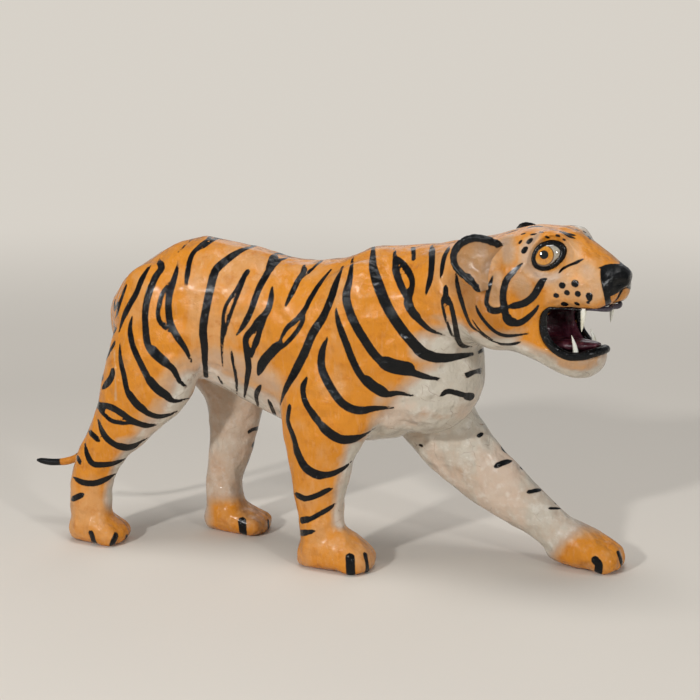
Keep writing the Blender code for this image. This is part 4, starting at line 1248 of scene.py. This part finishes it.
glass = Finish("amber_glass_eye")
from_iris = glass.kept("from_iris")
from_pupil = glass.kept("from_pupil")
ray_place = glass.node("ShaderNodeAttribute", {"attribute_name": "ray"}, output="Vector")
rays = glass.node("ShaderNodeTexNoise", {}, {"Vector": ray_place, "Scale": 9.0, "Detail": 4.0})
iris = glass.node("ShaderNodeValToRGB", {"stops": IRIS_COLOURS}, {
    "Fac": rays * 0.8 + from_iris * 0.055 - 0.12})
iris = glass.blend(from_iris.between(IRIS_RADIUS - 1.0, IRIS_RADIUS), iris, IRIS_EDGE)
white = glass.blend(glass.cloud(500.0, 3.0).between(0.4, 0.7), EYE_WHITE, EYE_STAIN)
ball_colour = glass.blend(from_iris.between(IRIS_RADIUS, IRIS_RADIUS + 0.4), iris, white)
ball_colour = glass.blend(from_pupil.between(PUPIL_RADIUS + 0.2, PUPIL_RADIUS), ball_colour, BLACK)
ball_colour = glass.blend(glass.kept("from_rim").between(0.15, -0.15), ball_colour, BLACK)
glass_eye = glass.finish(
    Base_Color=ball_colour, Roughness=0.06, Coat_Weight=1.0, Coat_Roughness=0.01, Coat_IOR=1.6)

rim_finish = Finish("black_eye_rim")
rim_cloud = rim_finish.cloud(400.0, 3.0)
rim_paint = rim_finish.finish(
    Base_Color=rim_finish.blend(rim_cloud.between(0.4, 0.7), BLACK, RIM_SHEEN),
    Roughness=0.14 + 0.2 * rim_cloud, Normal=rim_finish.relief(rim_cloud, 0.5 * MM), Specular_IOR_Level=0.20)

iris_middle, pupil_middle = on_plane([IRIS_SEEN, PUPIL_SEEN], eye_middle, eye_out)
off = np.radians(np.linspace(1.0, 179.0, 64))[:, None, None]
turn = np.linspace(0.0, 2.0 * math.pi, 72, endpoint=False)[None, :, None]
ball = (EYE_DEEP * np.cos(off) * eye_out
        + rim_radius(turn) * np.sin(off) * (np.cos(turn) * eye_aside + np.sin(turn) * eye_over))
ball = eye_middle + ball * MM
# The black of the rim runs a little way onto the glass, as far as the rim is thick.
rim_reaches = RIM_RADIUS * (1.08 - 0.28 * ((ball - eye_middle) @ eye_aside) / (10.0 * MM))
from_rim = (1.0 - np.sin(off[:, :, 0])) * rim_radius(turn[:, :, 0]) - rim_reaches
from_rim = np.where(off[:, :, 0] > 0.5 * math.pi, -1.0, from_rim)
rim_line = closed_line(rim_near + eye_out * RIM_LIFT * MM, 0.5 * MM)
rim_sizes = RIM_RADIUS * MM * (1.02 - 0.28 * ((rim_line - eye_middle) @ eye_aside) / (10.0 * MM)
                               + 0.10 * lumps(rim_line, 3.0 * MM, 22))
for side, word in ((-1.0, "right"), (1.0, "left")):
    eye = skinned(word + "_glass_eye", mirrored(ball, side), False, glass_eye)
    places, _ = corners_of(eye)
    places = mirrored(places, side)
    set_value(eye, "from_rim", np.append(from_rim.ravel(), (9.0, -1.0)))
    for name, centre in (("from_iris", iris_middle), ("from_pupil", pupil_middle)):
        apart = (places - centre) / MM
        set_value(eye, name, np.hypot(apart @ eye_aside, apart @ eye_over))
    apart = (places - iris_middle) / MM
    turned = np.arctan2(apart @ eye_over, apart @ eye_aside)
    kept = eye.data.attributes.new("ray", "FLOAT_VECTOR", "POINT")
    ray = np.stack([np.cos(turned), np.sin(turned), 0.03 * np.linalg.norm(apart, axis=1)], axis=-1)
    kept.data.foreach_set("vector", ray.astype(np.float32).ravel())
    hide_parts(word + "_eye")
    rim_grid = tube(mirrored(rim_line, side), rim_sizes, RIM_SIDES, True)
    rim = skinned(word + "_eye_rim", rim_grid, True, rim_paint)


# The tail
# A roll of leather round a wire, let into the rump. It hangs behind the hind legs and turns back at
# its end; the end is black and rings are painted round the rest.
TAIL_ROUTE = [
    (-141.5, 6.5, 190), (-147.5, 6.5, 181), (-151.5, 6.5, 168), (-155.5, 6.5, 150), (-161, 6.5, 128),
    (-168, 6.5, 105), (-176.5, 6.5, 85), (-185.5, 6.5, 68), (-194.5, 6.5, 56.5), (-205.5, 6.5, 50.5),
    (-219.5, 6.5, 48), (-233.2, 6.5, 48.5),
]
TAIL_ROOT_RADIUS = 5.2
TAIL_TIP_RADIUS = 2.3
TAIL_SIDES = 24
TAIL_END = np.array((0.95, 0.85, 0.65, 0.35))
BLACK_TIP_STARTS = 0.86
tail_line = flowing(TAIL_ROUTE, 2.0)
tail_share = np.linspace(0.0, 1.0, len(tail_line))
tail_radii = TAIL_ROOT_RADIUS + (TAIL_TIP_RADIUS - TAIL_ROOT_RADIUS) * tail_share
tail_radii *= 1.0 + 0.03 * np.sin(tail_share * 70.0)
tail_radii[-4:] *= TAIL_END
tail_finish = Finish("tail_leather")
down_tail = tail_finish.kept("along")
tail_worn = tail_finish.cloud(130.0, 5.0, 0.65)
tail_base = tail_finish.blend(tail_worn.between(0.4, 0.7), ORANGE, DEEP_ORANGE)
ring_place = down_tail * 62.0 + (tail_worn - 0.5) * 3.0
bands = tail_finish.node("ShaderNodeMath", {"operation": "SINE"}, {0: ring_place})
ring_share = bands.between(0.45, 0.65) * down_tail.between(0.80, 0.78)
tip_share = (down_tail + (tail_worn - 0.5) * 0.02).between(BLACK_TIP_STARTS, BLACK_TIP_STARTS + 0.008)
tail_base = tail_finish.blend(ring_share.most(tip_share), tail_base, BLACK)
tail_grain = tail_finish.cloud(900.0, 3.0)
tail_paint = tail_finish.finish(
    Base_Color=tail_base, Roughness=0.28 + 0.2 * tail_worn, Normal=tail_finish.relief(tail_grain, 0.4 * MM),
    Specular_IOR_Level=0.30)
tail = skinned("tail_roll", tube(tail_line * MM, tail_radii * MM, TAIL_SIDES, False), False, tail_paint)
set_value(tail, "along", np.concatenate([np.repeat(tail_share, TAIL_SIDES), [0.0, 1.0]]))
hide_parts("tail")


# The studio
# A pale floor that keeps the tiger's soft shadow, under plain soft lamps.
FLOOR_SIZE = 14.0
FLOOR_COLOURS = ((0.68, 0.63, 0.56, 1.0), (0.71, 0.66, 0.59, 1.0))
BACKDROP_COLOUR = (0.68, 0.64, 0.58, 1.0)
LAMP_AIM = Vector((0.0, 0.0, 0.12))
floor_mesh = bpy.data.meshes.new("floor")
floor_corners = [(x * FLOOR_SIZE, y * FLOOR_SIZE, 0.0) for x, y in ((-1, -1), (1, -1), (1, 1), (-1, 1))]
floor_mesh.from_pydata(floor_corners, [], [(0, 1, 2, 3)])
floor = bpy.data.objects.new("floor", floor_mesh)
bpy.context.scene.collection.objects.link(floor)
floor_finish = Finish("pale_floor")
floor_mesh.materials.append(floor_finish.finish(
    Base_Color=floor_finish.blend(floor_finish.cloud(2.0), *FLOOR_COLOURS),
    Roughness=0.9, Specular_IOR_Level=0.1))
# Far from the tiger the floor turns into the even colour of the backdrop, for what is seen of it.
far_away = floor_finish.node(
    "ShaderNodeVectorMath", {"operation": "LENGTH"}, {0: floor_finish.place()}, output="Value")
seen_ray = floor_finish.node("ShaderNodeLightPath", output="Is Camera Ray")
seen_ray = seen_ray.most(floor_finish.node("ShaderNodeLightPath", output="Is Glossy Ray"))
seen_ray = seen_ray.most(floor_finish.node("ShaderNodeLightPath", output="Is Transmission Ray"))
pale_far = floor_finish.node("ShaderNodeEmission", {}, {"Color": BACKDROP_COLOUR, "Strength": 1.0})
mixed = floor_finish.node("ShaderNodeMixShader", {}, {
    0: far_away.between(0.5, 1.8) * seen_ray,
    1: Value(floor_finish, floor_finish.shader.outputs[0]), 2: pale_far})
floor_finish.put(floor_finish.tree.nodes["Material Output"].inputs["Surface"], mixed)

for name, place, size, power in (
        ("key_lamp", (-0.6, -1.9, 1.05), 0.13, 23.0), ("fill_lamp", (1.7, -1.4, 0.9), 0.16, 11.0),
        ("top_lamp", (0.1, -0.2, 2.0), 0.8, 15.0), ("back_lamp", (-0.4, 1.6, 1.0), 1.0, 3.0)):
    lamp = bpy.data.lights.new(name, "AREA")
    lamp.size = size
    lamp.energy = power
    holder = bpy.data.objects.new(name, lamp)
    bpy.context.scene.collection.objects.link(holder)
    holder.location = place
    holder.rotation_euler = (LAMP_AIM - Vector(place)).to_track_quat("-Z", "Y").to_euler()

world = bpy.data.worlds.new("studio")
bpy.context.scene.world = world
world.use_nodes = True
lit = world.node_tree.nodes["Background"]
lit.inputs["Color"].default_value = (0.95, 0.97, 1.0, 1.0)
lit.inputs["Strength"].default_value = 0.25
bpy.context.scene.view_settings.view_transform = "Standard"
